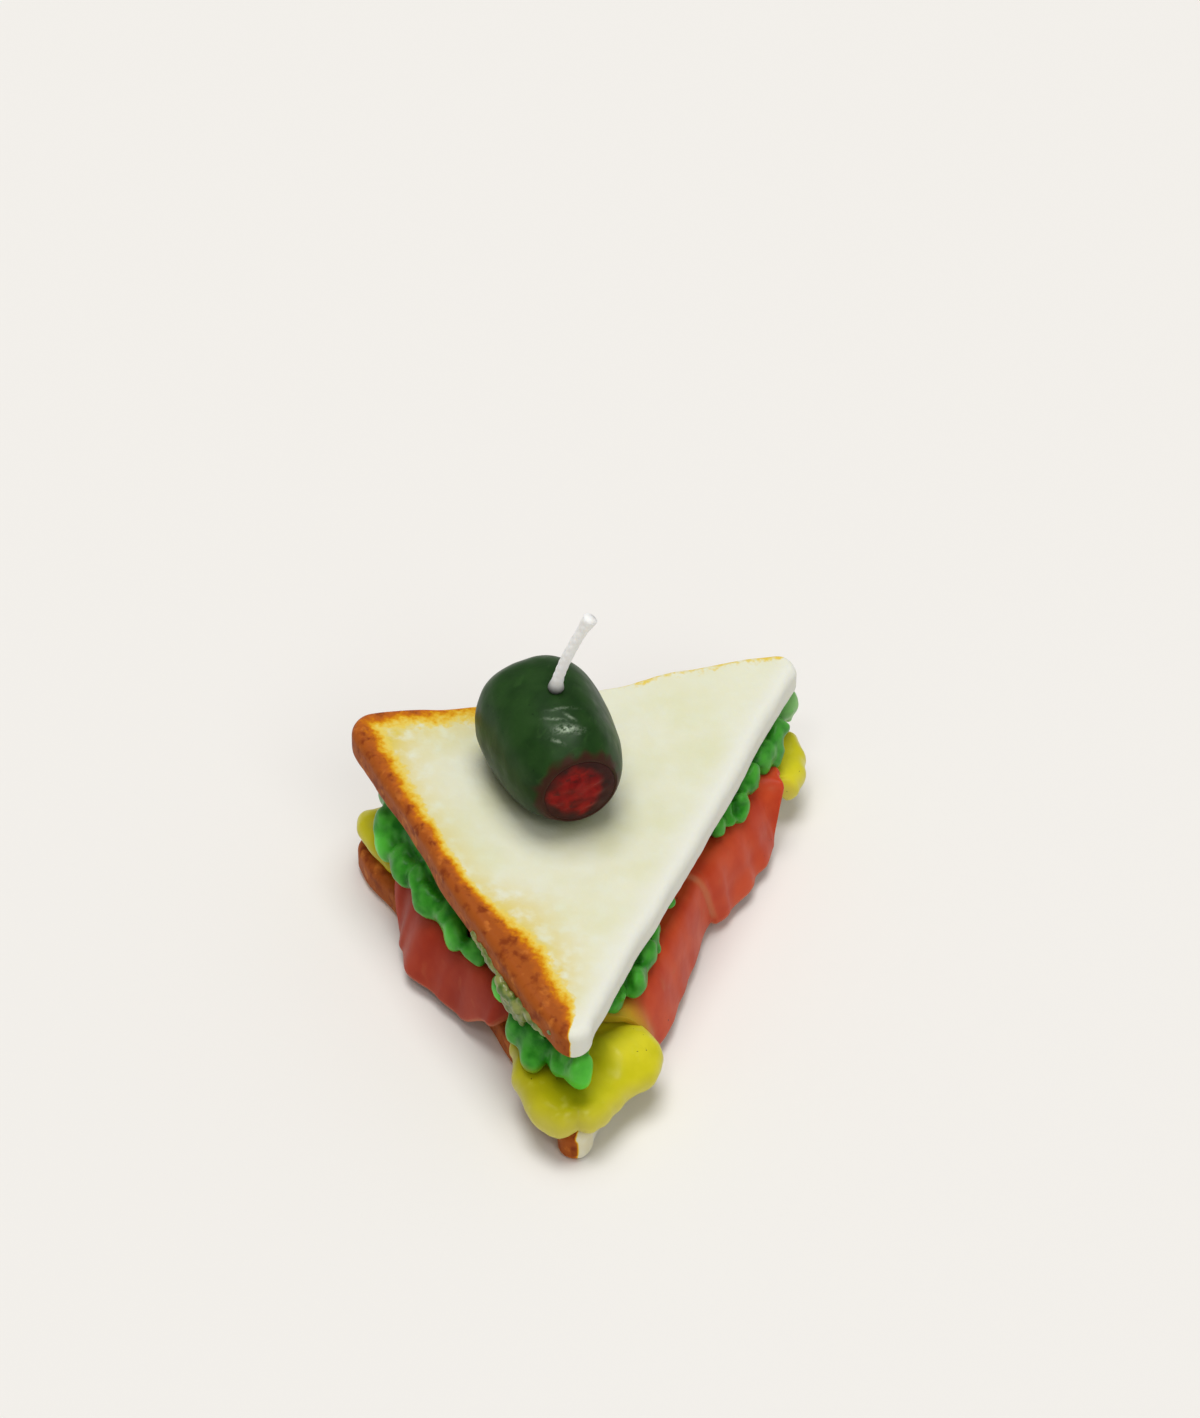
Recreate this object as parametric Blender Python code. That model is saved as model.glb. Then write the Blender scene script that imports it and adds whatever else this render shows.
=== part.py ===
"""Wax candle in the form of a triangular sandwich half, with a stuffed olive and a wick on top.

Seen from above, the half slice is a triangle: corner A, the loaf's own rounded corner, points
to +Y, corner C to -X and corner B to +X. The sides AC and BA carry crust, the side CB facing
-Y is the white cut. The candle stands on z = 0, and the origin is the middle of its underside.

The stack is, from below: bread, cheese, ham, lettuce, bread, olive with its pimento, wick.
Every layer runs right through from side to side.
"""

import math
import random

import bmesh
import bpy
import numpy as np
from mathutils import Vector

MM = 0.001
GAP = 0.3 * MM                              # clearance between neighbouring pieces

# Plan of the half slice, measured between its sharp corners
CRUST_SIDE = 100 * MM
APEX_ANGLE = math.radians(80)
HALF_CUT = CRUST_SIDE * math.sin(APEX_ANGLE / 2)
DEPTH = CRUST_SIDE * math.cos(APEX_ANGLE / 2)
CORNER_A = np.array([0.0, DEPTH / 2])
CORNER_B = np.array([HALF_CUT, -DEPTH / 2])
CORNER_C = np.array([-HALF_CUT, -DEPTH / 2])
PERIMETER = 2 * CRUST_SIDE + 2 * HALF_CUT

# Heights of the stack
SLICE_THICKNESS = 7.2 * MM
CRUST_EDGE = 2.0 * MM                       # radius of the slices' edges on the crust sides
CUT_EDGE = 1.8 * MM                         # and on the cut side
CHEESE_TOP = 12.6 * MM                      # under the ham
CHEESE_MOUND = 3.8 * MM                     # rise of the cheese in the corners the ham leaves free
HAM_THICKNESS = 3.5 * MM
UNDERSIDE_AT_A = 31.4 * MM                  # underside of the upper slice above each corner
UNDERSIDE_AT_B = 22.7 * MM
UNDERSIDE_AT_C = 23.6 * MM
SLICE_SAG = 1.8 * MM                        # dip of the upper slice halfway along BA
SLICE_SHIFT = np.array([1.1, 0.4]) * MM     # the upper slice lies a little off the lower one

# Olive, pimento and wick
OLIVE_PLACE = np.array([4.5, -3.8]) * MM
OLIVE_RADIUS = 13.15 * MM
OLIVE_HEADING = math.radians(222.8)         # plan direction of the pimento end
OLIVE_FRONT = 21.1 * MM                     # half length towards the pimento, to where it would close
OLIVE_BACK = 14.5 * MM                      # half length of the blunt end
FRONT_SQUARENESS = 2.4                      # 2 is an ellipse, more is a barrel
BACK_SQUARENESS = 3.2
OLIVE_DENT = 1.4 * MM                       # how deep the olive sank into the bread
DENT_SPREAD = 9 * MM
PIMENTO_RADIUS = 7.1 * MM
PIMENTO_DEPTH = 2.2 * MM
PIMENTO_DOME = 0.9 * MM
OLIVE_LIP = 0.9 * MM                        # width of the olive's flat rim round the pimento
WICK_RADIUS = 1.1 * MM
WICK_COLLAR_RADIUS = 1.9 * MM
WICK_SOCKET_RADIUS = 1.5 * MM
WICK_SOCKET_DEPTH = 3.0 * MM
WICK_HEIGHT = 17.8 * MM
WICK_LEAN = 6.9 * MM
WICK_PLACE = np.array([-1.1, -2.4]) * MM    # from the olive's middle
WICK_HEADING = math.radians(-68)            # plan direction in which the wick leans


# ---------------------------------------------------------------- places along the outline

def along_ac(distance):
    """Place on the crust side AC, so far from A."""
    return distance * MM


def along_cb(distance):
    """Place on the cut side CB, so far from C."""
    return CRUST_SIDE + distance * MM


def along_ba(distance):
    """Place on the crust side BA, so far from B."""
    return CRUST_SIDE + 2 * HALF_CUT + distance * MM


def winding(place, turning_points):
    """A smooth closed line through its turning points, given as (place, value).

    Between two turning points the value follows half a cosine wave.
    """
    stops = sorted((stop % PERIMETER, value) for stop, value in turning_points)
    stops = [(stops[-1][0] - PERIMETER, stops[-1][1])] + stops + [(stops[0][0] + PERIMETER, stops[0][1])]
    places, values = np.array(stops).T
    where = place % PERIMETER
    before = np.searchsorted(places, where, side="right") - 1
    share = (where - places[before]) / (places[before + 1] - places[before])
    rise = (1 - np.cos(math.pi * share)) / 2
    return values[before] * (1 - rise) + values[before + 1] * rise


def side_point(place):
    """Plan point at a place on the sharp triangle."""
    stops = [0, CRUST_SIDE, CRUST_SIDE + 2 * HALF_CUT, PERIMETER]
    corners = np.array([CORNER_A, CORNER_C, CORNER_B, CORNER_A])
    return np.array([np.interp(place, stops, corners[:, axis]) for axis in (0, 1)])


class Outline:
    """The triangle with rounded corners, counterclockwise from corner A.

    points and normals lie in plan; place is the distance run along the sharp triangle, so that
    outlines with different corner radii share the same places.
    """

    def __init__(self, radius_a, radius_c, radius_b, arc_steps, side_steps):
        corners = [CORNER_A, CORNER_C, CORNER_B]
        radii = [radius_a, radius_c, radius_b]
        starts = [0.0, CRUST_SIDE, CRUST_SIDE + 2 * HALF_CUT]
        points, normals, places = [], [], []
        ends = []
        for i, corner in enumerate(corners):
            back = corners[i - 1] - corner
            onward = corners[(i + 1) % 3] - corner
            back = back / np.linalg.norm(back)
            onward = onward / np.linalg.norm(onward)
            half = math.acos(float(back @ onward)) / 2
            tangent = radii[i] / math.tan(half)
            inward = (back + onward) / np.linalg.norm(back + onward)
            centre = corner + inward * radii[i] / math.sin(half)
            first = math.atan2(-inward[1], -inward[0]) - (math.pi / 2 - half)
            for step in range(arc_steps + 1):
                share = step / arc_steps
                angle = first + 2 * (math.pi / 2 - half) * share
                normal = np.array([math.cos(angle), math.sin(angle)])
                points.append(centre + normal * radii[i])
                normals.append(normal)
                places.append(starts[i] + (2 * share - 1) * tangent)
            ends.append(len(points))
        self.points, self.normals, self.place = self._with_sides(
            points, normals, places, ends, side_steps)

    @staticmethod
    def _with_sides(points, normals, places, ends, side_steps):
        """Put evenly spaced stations on the straight side after each corner's arc."""
        all_points, all_normals, all_places = [], [], []
        begin = 0
        for end in ends:
            all_points += points[begin:end]
            all_normals += normals[begin:end]
            all_places += places[begin:end]
            last, following = end - 1, end % len(points)
            next_place = places[following] + (PERIMETER if following == 0 else 0)
            for step in range(1, side_steps):
                share = step / side_steps
                all_points.append(points[last] * (1 - share) + points[following] * share)
                all_normals.append(normals[last])
                all_places.append(places[last] * (1 - share) + next_place * share)
            begin = end
        return np.array(all_points), np.array(all_normals), np.array(all_places)


# ---------------------------------------------------------------- surfaces of the stack

def corner_shares(x, y):
    """Barycentric shares of the corners A, B and C in the triangle."""
    share_a = (y + DEPTH / 2) / DEPTH
    share_b = (1 - share_a) / 2 + x / (2 * HALF_CUT)
    return share_a, share_b, 1 - share_a - share_b


def smooth_step(low, high, value):
    """0 below low, 1 above high and an S curve between."""
    t = np.clip((value - low) / (high - low), 0, 1)
    return t * t * (3 - 2 * t)


def outside(x, y):
    """How far a plan point lies outside the sharp triangle, negative inside."""
    a, b, c = corner_shares(x, y)
    height = CRUST_SIDE * math.sin(APEX_ANGLE)
    return np.maximum(-a * DEPTH, -np.minimum(b, c) * height)


def cheese_top(x, y):
    """Flat under the ham, raised at A and on the cut side near C."""
    a, b, c = corner_shares(x, y)
    from_ac = b * CRUST_SIDE * math.sin(APEX_ANGLE)
    near_c = smooth_step(0.77, 0.87, c) * smooth_step(9 * MM, 14 * MM, from_ac)
    return CHEESE_TOP + CHEESE_MOUND * (smooth_step(0.88, 0.95, a) + near_c)


def cheese_bottom(x, y):
    """Just clear of the lower slice."""
    return np.full_like(x, SLICE_THICKNESS + 2 * GAP)


def ham_bottom(x, y):
    """Just clear of the cheese."""
    return np.full_like(x, CHEESE_TOP + GAP)


def ham_top(x, y):
    """Upper face of the ham."""
    return np.full_like(x, CHEESE_TOP + GAP + HAM_THICKNESS)


def lettuce_bottom(x, y):
    """Just clear of the ham and, in the corners that the ham leaves free, of the cheese."""
    a, b, c = corner_shares(x, y)
    free = smooth_step(0.86, 0.93, a) + smooth_step(0.87, 0.93, b) + smooth_step(0.81, 0.87, c)
    over_ham = CHEESE_TOP + HAM_THICKNESS + 2.2 * GAP
    over_cheese = cheese_top(x, y) + 2 * GAP
    return np.maximum(over_ham * (1 - free) + over_cheese * free, over_cheese)


def upper_underside(x, y):
    """Underside of the upper slice: a plane through its three corner heights that sags behind."""
    a, b, c = corner_shares(x - SLICE_SHIFT[0], y - SLICE_SHIFT[1])
    plane = UNDERSIDE_AT_A * a + UNDERSIDE_AT_B * b + UNDERSIDE_AT_C * c
    return plane - SLICE_SAG * 4 * np.clip(a, 0, 1) * np.clip(b, 0, 1)


def lettuce_top(x, y):
    """Just clear of the upper slice."""
    return upper_underside(x, y) - GAP


def upper_top(x, y):
    """Top of the upper slice, with the dent that the olive rests in."""
    away = (x - OLIVE_PLACE[0]) ** 2 + (y - OLIVE_PLACE[1]) ** 2
    return upper_underside(x, y) + SLICE_THICKNESS - OLIVE_DENT * np.exp(-away / DENT_SPREAD ** 2)


# ---------------------------------------------------------------- building meshes

def clear_scene():
    """Start from an empty scene."""
    for thing in list(bpy.data.objects):
        bpy.data.objects.remove(thing, do_unlink=True)


def wax(name, colour, roughness):
    """Dyed wax: a plain Principled material."""
    material = bpy.data.materials.new(name)
    material.use_nodes = True
    shader = material.node_tree.nodes["Principled BSDF"]
    shader.inputs["Base Color"].default_value = (*colour, 1.0)
    shader.inputs["Roughness"].default_value = roughness
    shader.inputs["Metallic"].default_value = 0.0
    material.diffuse_color = (*colour, 1.0)
    return material


def add_object(name, vertices, faces, material):
    """A triangulated, smooth-shaded object from vertices and faces."""
    mesh = bpy.data.meshes.new(name)
    mesh.from_pydata([tuple(v) for v in vertices], [], faces)
    work = bmesh.new()
    work.from_mesh(mesh)
    bmesh.ops.triangulate(work, faces=work.faces[:], quad_method="SHORT_EDGE")
    work.to_mesh(mesh)
    work.free()
    mesh.shade_smooth()
    mesh.set_sharp_from_angle(angle=math.radians(50))
    mesh.materials.append(material)
    thing = bpy.data.objects.new(name, mesh)
    bpy.context.collection.objects.link(thing)
    return thing


def skin(name, rings, first_pole, last_pole, material):
    """Close a stack of rings with a pole at each end.

    The rings run from the first pole to the last, and each runs counterclockwise when seen
    from the side of the first pole.
    """
    count = len(rings[0])
    vertices = [first_pole]
    for ring in rings:
        vertices += list(ring)
    vertices.append(last_pole)
    last = len(vertices) - 1
    faces = []
    for j in range(count):
        k = (j + 1) % count
        faces.append((0, 1 + j, 1 + k))
        for i in range(len(rings) - 1):
            inner, outer = 1 + i * count, 1 + (i + 1) * count
            faces.append((inner + j, outer + j, outer + k, inner + k))
        foot = 1 + (len(rings) - 1) * count
        faces.append((last, foot + k, foot + j))
    return add_object(name, vertices, faces, material)


def at_height(plan, height):
    """Plan points lifted to their heights."""
    return np.column_stack([plan, height])


def on_surface(plan, surface):
    """Plan points lifted onto a height function."""
    return at_height(plan, surface(plan[:, 0], plan[:, 1]))


def towards(middle, plan, share):
    """Points this share of the way from the middle out to the plan points."""
    return middle + (plan - middle) * share


# ---------------------------------------------------------------- bread

def bread_slice(name, outline, middle, top, bottom, edge_radius, shares, material, arc_steps=3):
    """A slice: two faces and an upright side, with edges rounded by edge_radius per station."""
    plan = outline.points
    inner = plan - outline.normals * edge_radius[:, None]
    upper = [on_surface(towards(middle, inner, share), top) for share in shares]
    lower = [on_surface(towards(middle, inner, share), bottom) for share in shares[1::2]]
    edge_top = top(inner[:, 0], inner[:, 1])
    edge_bottom = bottom(inner[:, 0], inner[:, 1])
    side_top, side_bottom = [], []
    for step in range(arc_steps + 1):
        angle = math.pi / 2 * step / arc_steps
        ring = inner + outline.normals * (edge_radius * math.sin(angle))[:, None]
        drop = edge_radius * (1 - math.cos(angle))
        side_top.append(at_height(ring, edge_top - drop))
        side_bottom.append(at_height(ring, edge_bottom + drop))
    rings = upper + side_top + side_bottom[::-1] + lower[::-1]
    poles = [np.append(middle, surface(*middle[:, None])[0]) for surface in (top, bottom)]
    return skin(name, rings, poles[0], poles[1], material)


def crust_edge(outline, crust_radius, cut_radius):
    """The radius of the edge at each station, on the crust sides and along the cut."""
    on_cut = smooth_step(CRUST_SIDE - 2 * MM, CRUST_SIDE + 3 * MM, outline.place)
    off_cut = smooth_step(along_ba(-3), along_ba(2), outline.place)
    return crust_radius + (cut_radius - crust_radius) * (on_cut - off_cut)


def bread_bottom(material):
    """The lower slice, flat on the ground."""
    outline = Outline(3.6 * MM, 2.1 * MM, 2.5 * MM, arc_steps=5, side_steps=12)
    offset = MM * winding(outline.place, [
        (along_ac(1), 0.3), (along_ac(9), 1.2), (along_ac(21), 0.2), (along_ac(58), -1.1),
        (along_ac(76), -0.4), (along_ac(89), 0.8), (along_cb(-1), 3.0), (along_cb(6), 0.9),
        (along_cb(22), 0.0), (along_cb(52), -1.2), (along_cb(68), -2.7), (along_cb(84), -1.0),
        (along_cb(122), 0.0)])
    outline.points = outline.points + outline.normals * offset[:, None]
    top = lambda x, y: np.full_like(x, SLICE_THICKNESS)
    ground = lambda x, y: np.zeros_like(x)
    radius = crust_edge(outline, CRUST_EDGE, CUT_EDGE)
    return bread_slice("bread_bottom", outline, np.zeros(2), top, ground, radius, [0.5, 0.9], material)


def bread_top(material):
    """The upper slice, tilted down to C, sagging behind, dented by the olive."""
    outline = Outline(4.2 * MM, 3.2 * MM, 3.2 * MM, arc_steps=5, side_steps=14)
    offset = MM * winding(outline.place, [
        (along_ac(1), 0.9), (along_ac(7), 1.2), (along_ac(20), 1.7), (along_ac(36), 1.6),
        (along_ac(50), 2.9), (along_ac(84), 3.0), (along_ac(96), 2.2), (along_cb(10), -0.3),
        (along_cb(32), -0.5), (along_cb(46), 0.0), (along_cb(70), 0.2), (along_cb(90), 0.2),
        (along_cb(103), -0.3), (along_cb(114), 0.0), (along_cb(126), 0.5), (along_ba(5), 1.3),
        (along_ba(14), 2.3), (along_ba(28), 1.9), (along_ba(46), 0.3), (along_ba(73), 0.2),
        (along_ba(92), 1.6)])
    outline.points = outline.points + outline.normals * offset[:, None] + SLICE_SHIFT
    radius = crust_edge(outline, CRUST_EDGE, CUT_EDGE)
    shares = [0.13, 0.24, 0.38, 0.6, 0.84]
    return bread_slice(
        "bread_top", outline, OLIVE_PLACE, upper_top, upper_underside, radius, shares, material)


# ---------------------------------------------------------------- fillings

def resting(ring, support, held_to):
    """The ring, lifted onto the support wherever it is within held_to of the triangle."""
    floor = support(ring[:, 0], ring[:, 1])
    held = outside(ring[:, 0], ring[:, 1]) < held_to
    ring[:, 2] = np.where(held, np.maximum(ring[:, 2], floor), ring[:, 2])
    return ring


def draped_layer(name, outline, heart, reach, bend_from, rim_height, rim_half, bottom, top,
                 held_to, material, bend_steps=4, cap_steps=4, ease=2.0):
    """A filling that lies flat inside and bends down to a rounded rim.

    reach is how far the rim stands outside the outline, rim_height the height of its middle and
    rim_half half its thickness. The bend begins at bend_from outside the heart, an outline with
    wider corners. From there the middle and the thickness run from the layer's own to the rim's,
    and both faces lie at right angles to the sloping middle. As far out as held_to, measured
    from the sides of the triangle, the lower face stays on what is under it.
    """
    middle = np.zeros(2)
    inner = heart.points + heart.normals * bend_from[:, None]
    rim = outline.points + outline.normals * (reach - rim_half)[:, None]
    shares = np.linspace(0, 1, bend_steps + 1)
    plans = [inner * (1 - t) + rim * t for t in shares]
    tops = [top(plan[:, 0], plan[:, 1]) for plan in plans]
    bottoms = [bottom(plan[:, 0], plan[:, 1]) for plan in plans]
    heights = np.array([(high + low) / 2 * (1 - t ** ease) + rim_height * t ** ease
                        for high, low, t in zip(tops, bottoms, shares)])
    halves = np.array([(high - low) / 2 * (1 - t ** ease) + rim_half * t ** ease
                       for high, low, t in zip(tops, bottoms, shares)])
    run = np.linalg.norm(rim - inner, axis=1)
    slopes = np.arctan2(np.gradient(heights, shares, axis=0), run)
    slopes[0] = 0
    upper, lower = [], []
    for plan, height, half, slope in zip(plans, heights, halves, slopes):
        tilt = (-np.sin(slope) * half)[:, None] * outline.normals
        rise = np.cos(slope) * half
        upper.append(at_height(plan + tilt, height + rise))
        lower.append(resting(at_height(plan - tilt, height - rise), bottom, held_to))
    cap = []
    for step in range(1, cap_steps):
        angle = slopes[-1] + math.pi / 2 - math.pi * step / cap_steps
        out = (np.cos(angle) * rim_half)[:, None] * outline.normals
        cap.append(resting(at_height(rim + out, rim_height + np.sin(angle) * rim_half), bottom, held_to))
    halfway = towards(middle, inner, 0.5)
    rings = [on_surface(halfway, top)] + upper + cap + lower[::-1] + [on_surface(halfway, bottom)]
    zero = np.zeros(1)
    poles = [np.append(middle, surface(zero, zero)[0]) for surface in (top, bottom)]
    return skin(name, rings, poles[0], poles[1], material)


def cheese(material):
    """A thick slice whose corners hang out in soft lobes, hidden along the sides by the ham."""
    outline = Outline(3.6 * MM, 2.2 * MM, 2.6 * MM, arc_steps=5, side_steps=24)
    heart = Outline(14 * MM, 14 * MM, 14 * MM, arc_steps=5, side_steps=24)
    reach = MM * winding(outline.place, [
        (along_ac(2), 0.3), (along_ac(8), 0.2), (along_ac(14), -0.6), (along_ac(22), -3.4),
        (along_ac(67), -3.6), (along_ac(83), 5.6), (along_ac(92), 6.6), (along_ac(97), 4.8),
        (along_cb(0), 1.6), (along_cb(4), 4.0), (along_cb(11), 5.2), (along_cb(19), 8.4),
        (along_cb(24), 8.0), (along_cb(32.8), -3.6), (along_cb(105), -3.4), (along_cb(110.5), 5.8),
        (along_cb(114), 6.0), (along_cb(119), 4.2), (along_cb(124.5), 0.8), (along_cb(128.6), -1.4),
        (along_ba(10), -0.5), (along_ba(22), -3.4), (along_ba(74), -3.4), (along_ba(88), 3.4),
        (along_ba(96), 2.0)])
    out = np.clip((reach + 3 * MM) / (8 * MM), 0, 1)
    half = 2.35 * MM + 1.1 * MM * out
    height = 10.1 * MM - 1.4 * MM * out
    bend_from = np.minimum(reach - 7 * MM, -6.4 * MM)
    return draped_layer("cheese", outline, heart, reach, bend_from, height, half, cheese_bottom,
                        cheese_top, 3.2 * MM, material, bend_steps=4, ease=3)


def ham(material):
    """Folded ham, rounded off before the corners, hanging over the sides with a wavy edge."""
    outline = Outline(20 * MM, 12 * MM, 9 * MM, arc_steps=5, side_steps=25)
    reach = MM * winding(outline.place, [
        (along_ac(0), -1.5), (along_ac(15), -2.2), (along_ac(26), 2.2), (along_ac(32), 4.8),
        (along_ac(39), 7.0), (along_ac(48), 5.0), (along_ac(55), 3.6), (along_ac(65), 2.2),
        (along_ac(71), -5.0), (along_cb(0), -6.0), (along_cb(24.5), -5.0), (along_cb(32.5), 4.0),
        (along_cb(39), 4.2), (along_cb(47), 3.4), (along_cb(56), 2.3), (along_cb(70), 0.8),
        (along_cb(79), 4.0), (along_cb(84), 5.2), (along_cb(91), 5.6), (along_cb(97), 5.2),
        (along_cb(103), 4.6), (along_cb(107), 2.4), (along_cb(111), -4.0), (along_ba(0), -5.0),
        (along_ba(22), -3.0), (along_ba(34), 5.6), (along_ba(46), 3.4), (along_ba(60), 5.8),
        (along_ba(72), 1.0), (along_ba(80), -3.0)])
    flat = CHEESE_TOP + GAP + HAM_THICKNESS / 2
    low = 3.6 * MM
    hang = winding(outline.place, [
        (along_ac(20), 0.0), (along_ac(29), 1.0), (along_ac(55), 1.0), (along_ac(65), 0.5),
        (along_ac(70), 0.0), (along_cb(31), 0.0), (along_cb(35.5), 1.0), (along_cb(97), 1.0),
        (along_cb(104), 0.0), (along_ba(25), 0.0), (along_ba(33), 1.0), (along_ba(63), 1.0),
        (along_ba(72), 0.2), (along_ba(76), 0.0)])
    height = flat - (flat - low) * hang
    half = np.full_like(reach, 1.15 * MM)
    bend_from = np.minimum(reach - 4 * MM, -2.6 * MM)
    return draped_layer("ham", outline, outline, reach, bend_from, height, half, ham_bottom,
                        ham_top, -2.2 * MM, material, bend_steps=3)


# The lumps that show at the lettuce's edge: place, then in millimetres how far out and how high
# the middle lies, and half the length along the edge, half the thickness and half the height
LETTUCE_LUMPS = [
    (along_ac(15), -1.0, 20.8, 4.4, 2.8, 3.8),
    (along_ac(26), -0.4, 20.6, 5.0, 2.8, 3.8),
    (along_ac(37), 0.0, 20.2, 5.0, 2.8, 3.5),
    (along_ac(47), -0.4, 20.0, 5.6, 2.8, 3.3),
    (along_ac(55), -1.6, 19.8, 4.4, 2.4, 3.0),
    (along_ac(67), -1.0, 19.4, 3.8, 2.4, 2.7),
    (along_ac(79), -0.6, 18.2, 6.0, 3.2, 4.0),
    (along_ac(87), -0.4, 17.2, 5.4, 3.2, 4.0),
    (along_cb(8), -2.8, 17.4, 4.2, 3.0, 3.9),
    (along_cb(26), -2.4, 19.4, 4.0, 2.2, 2.6),
    (along_cb(34), -1.0, 19.8, 4.8, 2.6, 3.0),
    (along_cb(42), -1.8, 19.6, 5.4, 2.4, 2.8),
    (along_cb(55), -2.8, 20.4, 3.0, 2.2, 2.2),
    (along_cb(82), -1.8, 19.4, 3.6, 2.4, 2.6),
    (along_cb(92), -1.0, 19.4, 5.2, 2.6, 2.6),
    (along_cb(104), -1.4, 19.6, 6.0, 2.6, 2.8),
    (along_cb(114), -1.6, 19.6, 5.2, 2.4, 2.9),
    (along_cb(123), -1.8, 19.6, 4.4, 2.0, 2.8),
    (along_ba(12), -1.0, 19.0, 5.6, 2.6, 3.4),
    (along_ba(28), -0.8, 20.0, 6.2, 2.6, 3.2),
    (along_ba(45), -0.8, 20.2, 6.0, 2.6, 3.4),
    (along_ba(61), -0.6, 20.6, 6.4, 2.8, 3.8),
    (along_ba(78), -1.2, 21.2, 6.0, 2.8, 4.0),
]


def ellipsoid(middle, semi_axes, turn, collection):
    """One lump: a coarse ball, stretched and turned about the vertical, kept in a collection."""
    work = bmesh.new()
    bmesh.ops.create_icosphere(work, subdivisions=2, radius=1.0)
    cosine, sine = math.cos(turn), math.sin(turn)
    for vertex in work.verts:
        x, y, z = (vertex.co[i] * semi_axes[i] for i in range(3))
        vertex.co = Vector((cosine * x - sine * y, sine * x + cosine * y, z)) + Vector(middle)
    mesh = bpy.data.meshes.new("lump")
    work.to_mesh(mesh)
    work.free()
    thing = bpy.data.objects.new("lump", mesh)
    collection.objects.link(thing)
    return thing


def keep_outer_shell(mesh):
    """Drop every closed shell but the one with the most corners: buried pockets and loose scraps."""
    work = bmesh.new()
    work.from_mesh(mesh)
    left = set(work.verts)
    shells = []
    while left:
        seed = left.pop()
        shell, front = {seed}, [seed]
        while front:
            vertex = front.pop()
            for edge in vertex.link_edges:
                other = edge.other_vert(vertex)
                if other not in shell:
                    shell.add(other)
                    front.append(other)
        left -= shell
        shells.append(shell)
    largest = max(shells, key=len)
    for shell in shells:
        if shell is not largest:
            bmesh.ops.delete(work, geom=list(shell), context="VERTS")
    bmesh.ops.triangulate(work, faces=work.faces[:])
    work.to_mesh(mesh)
    work.free()


def fuse(thing, collection):
    """Join a collection's lumps to an object in one union, then take the lumps away."""
    union = thing.modifiers.new("union", "BOOLEAN")
    union.operation = "UNION"
    union.operand_type = "COLLECTION"
    union.collection = collection
    union.solver = "MANIFOLD"
    bpy.context.view_layer.update()
    graph = bpy.context.evaluated_depsgraph_get()
    joined = bpy.data.meshes.new_from_object(thing.evaluated_get(graph))
    thing.modifiers.clear()
    thing.data = joined
    keep_outer_shell(joined)
    joined.shade_smooth()
    joined.set_sharp_from_angle(angle=math.radians(50))
    for lump in list(collection.objects):
        bpy.data.objects.remove(lump, do_unlink=True)
    bpy.data.collections.remove(collection)


def lettuce(material):
    """Chopped lettuce in one mass: an uneven core with lumps that push out and hang over the ham."""
    outline = Outline(6 * MM, 5 * MM, 5 * MM, arc_steps=4, side_steps=16)
    heart = Outline(15 * MM, 15 * MM, 15 * MM, arc_steps=4, side_steps=16)
    reach = MM * winding(outline.place, [
        (along_ac(0), -2.8), (along_ac(18), -1.8), (along_ac(44), -1.0), (along_ac(60), -2.4),
        (along_ac(84), -1.0), (along_cb(0), -2.0), (along_cb(18), -4.6), (along_cb(34), -2.2),
        (along_cb(46), -2.4), (along_cb(58), -3.2), (along_cb(72), -3.4), (along_cb(88), -1.6),
        (along_cb(112), -1.6), (along_ba(0), -2.4), (along_ba(20), -1.4), (along_ba(50), -1.8),
        (along_ba(75), -1.6)])
    inner = outline.points + outline.normals * (reach - 3 * MM)[:, None]
    low, high = lettuce_bottom(inner[:, 0], inner[:, 1]), lettuce_top(inner[:, 0], inner[:, 1])
    half = (high - low) / 2 * 0.8
    thing = draped_layer("lettuce", outline, heart, reach, reach - 7.5 * MM, (low + high) / 2, half,
                         lettuce_bottom, lettuce_top, 0.0, material, bend_steps=2, cap_steps=4)
    lumps = bpy.data.collections.new("lettuce lumps")
    bpy.context.scene.collection.children.link(lumps)
    draw = random.Random(11)
    for place, out, height, along, thick, tall in LETTUCE_LUMPS:
        nearest = int(np.argmin(np.abs(outline.place - place)))
        normal = outline.normals[nearest]
        plan = side_point(place) + normal * out * MM
        turn = math.atan2(normal[1], normal[0]) + math.pi / 2 + draw.uniform(-0.3, 0.3)
        size = (along * MM, thick * MM, tall * MM)
        ellipsoid((*plan, height * MM), size, turn, lumps)
    fuse(thing, lumps)
    return thing


# ---------------------------------------------------------------- olive, pimento, wick

def olive_frame():
    """Middle and axes of the olive, which lies along the slope of the bread."""
    x, y = OLIVE_PLACE
    step = 1 * MM
    at = lambda dx, dy: float(upper_underside(np.array([x + dx]), np.array([y + dy]))[0])
    heading = np.array([math.cos(OLIVE_HEADING), math.sin(OLIVE_HEADING)])
    slope = (at(*(heading * step)) - at(*(-heading * step))) / (2 * step)
    axis = Vector((*heading, slope)).normalized()
    side = Vector((0, 0, 1)).cross(axis).normalized()
    up = axis.cross(side)
    rest = at(0, 0) + SLICE_THICKNESS - OLIVE_DENT + 1.5 * GAP
    return Vector((x, y, rest)) + up * OLIVE_RADIUS, axis, side, up


def turned(name, profile, sides, first, last, frame, material):
    """A profile of (distance along the axis, radius) turned round the axis, from first to last."""
    middle, axis, side, up = frame
    rings = []
    for distance, radius in profile:
        ring = []
        for j in range(sides):
            angle = -2 * math.pi * j / sides
            out = side * math.cos(angle) + up * math.sin(angle)
            ring.append(tuple(middle + axis * distance + out * radius))
        rings.append(ring)
    poles = [tuple(middle + axis * end) for end in (first, last)]
    return skin(name, rings, poles[0], poles[1], material)


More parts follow.
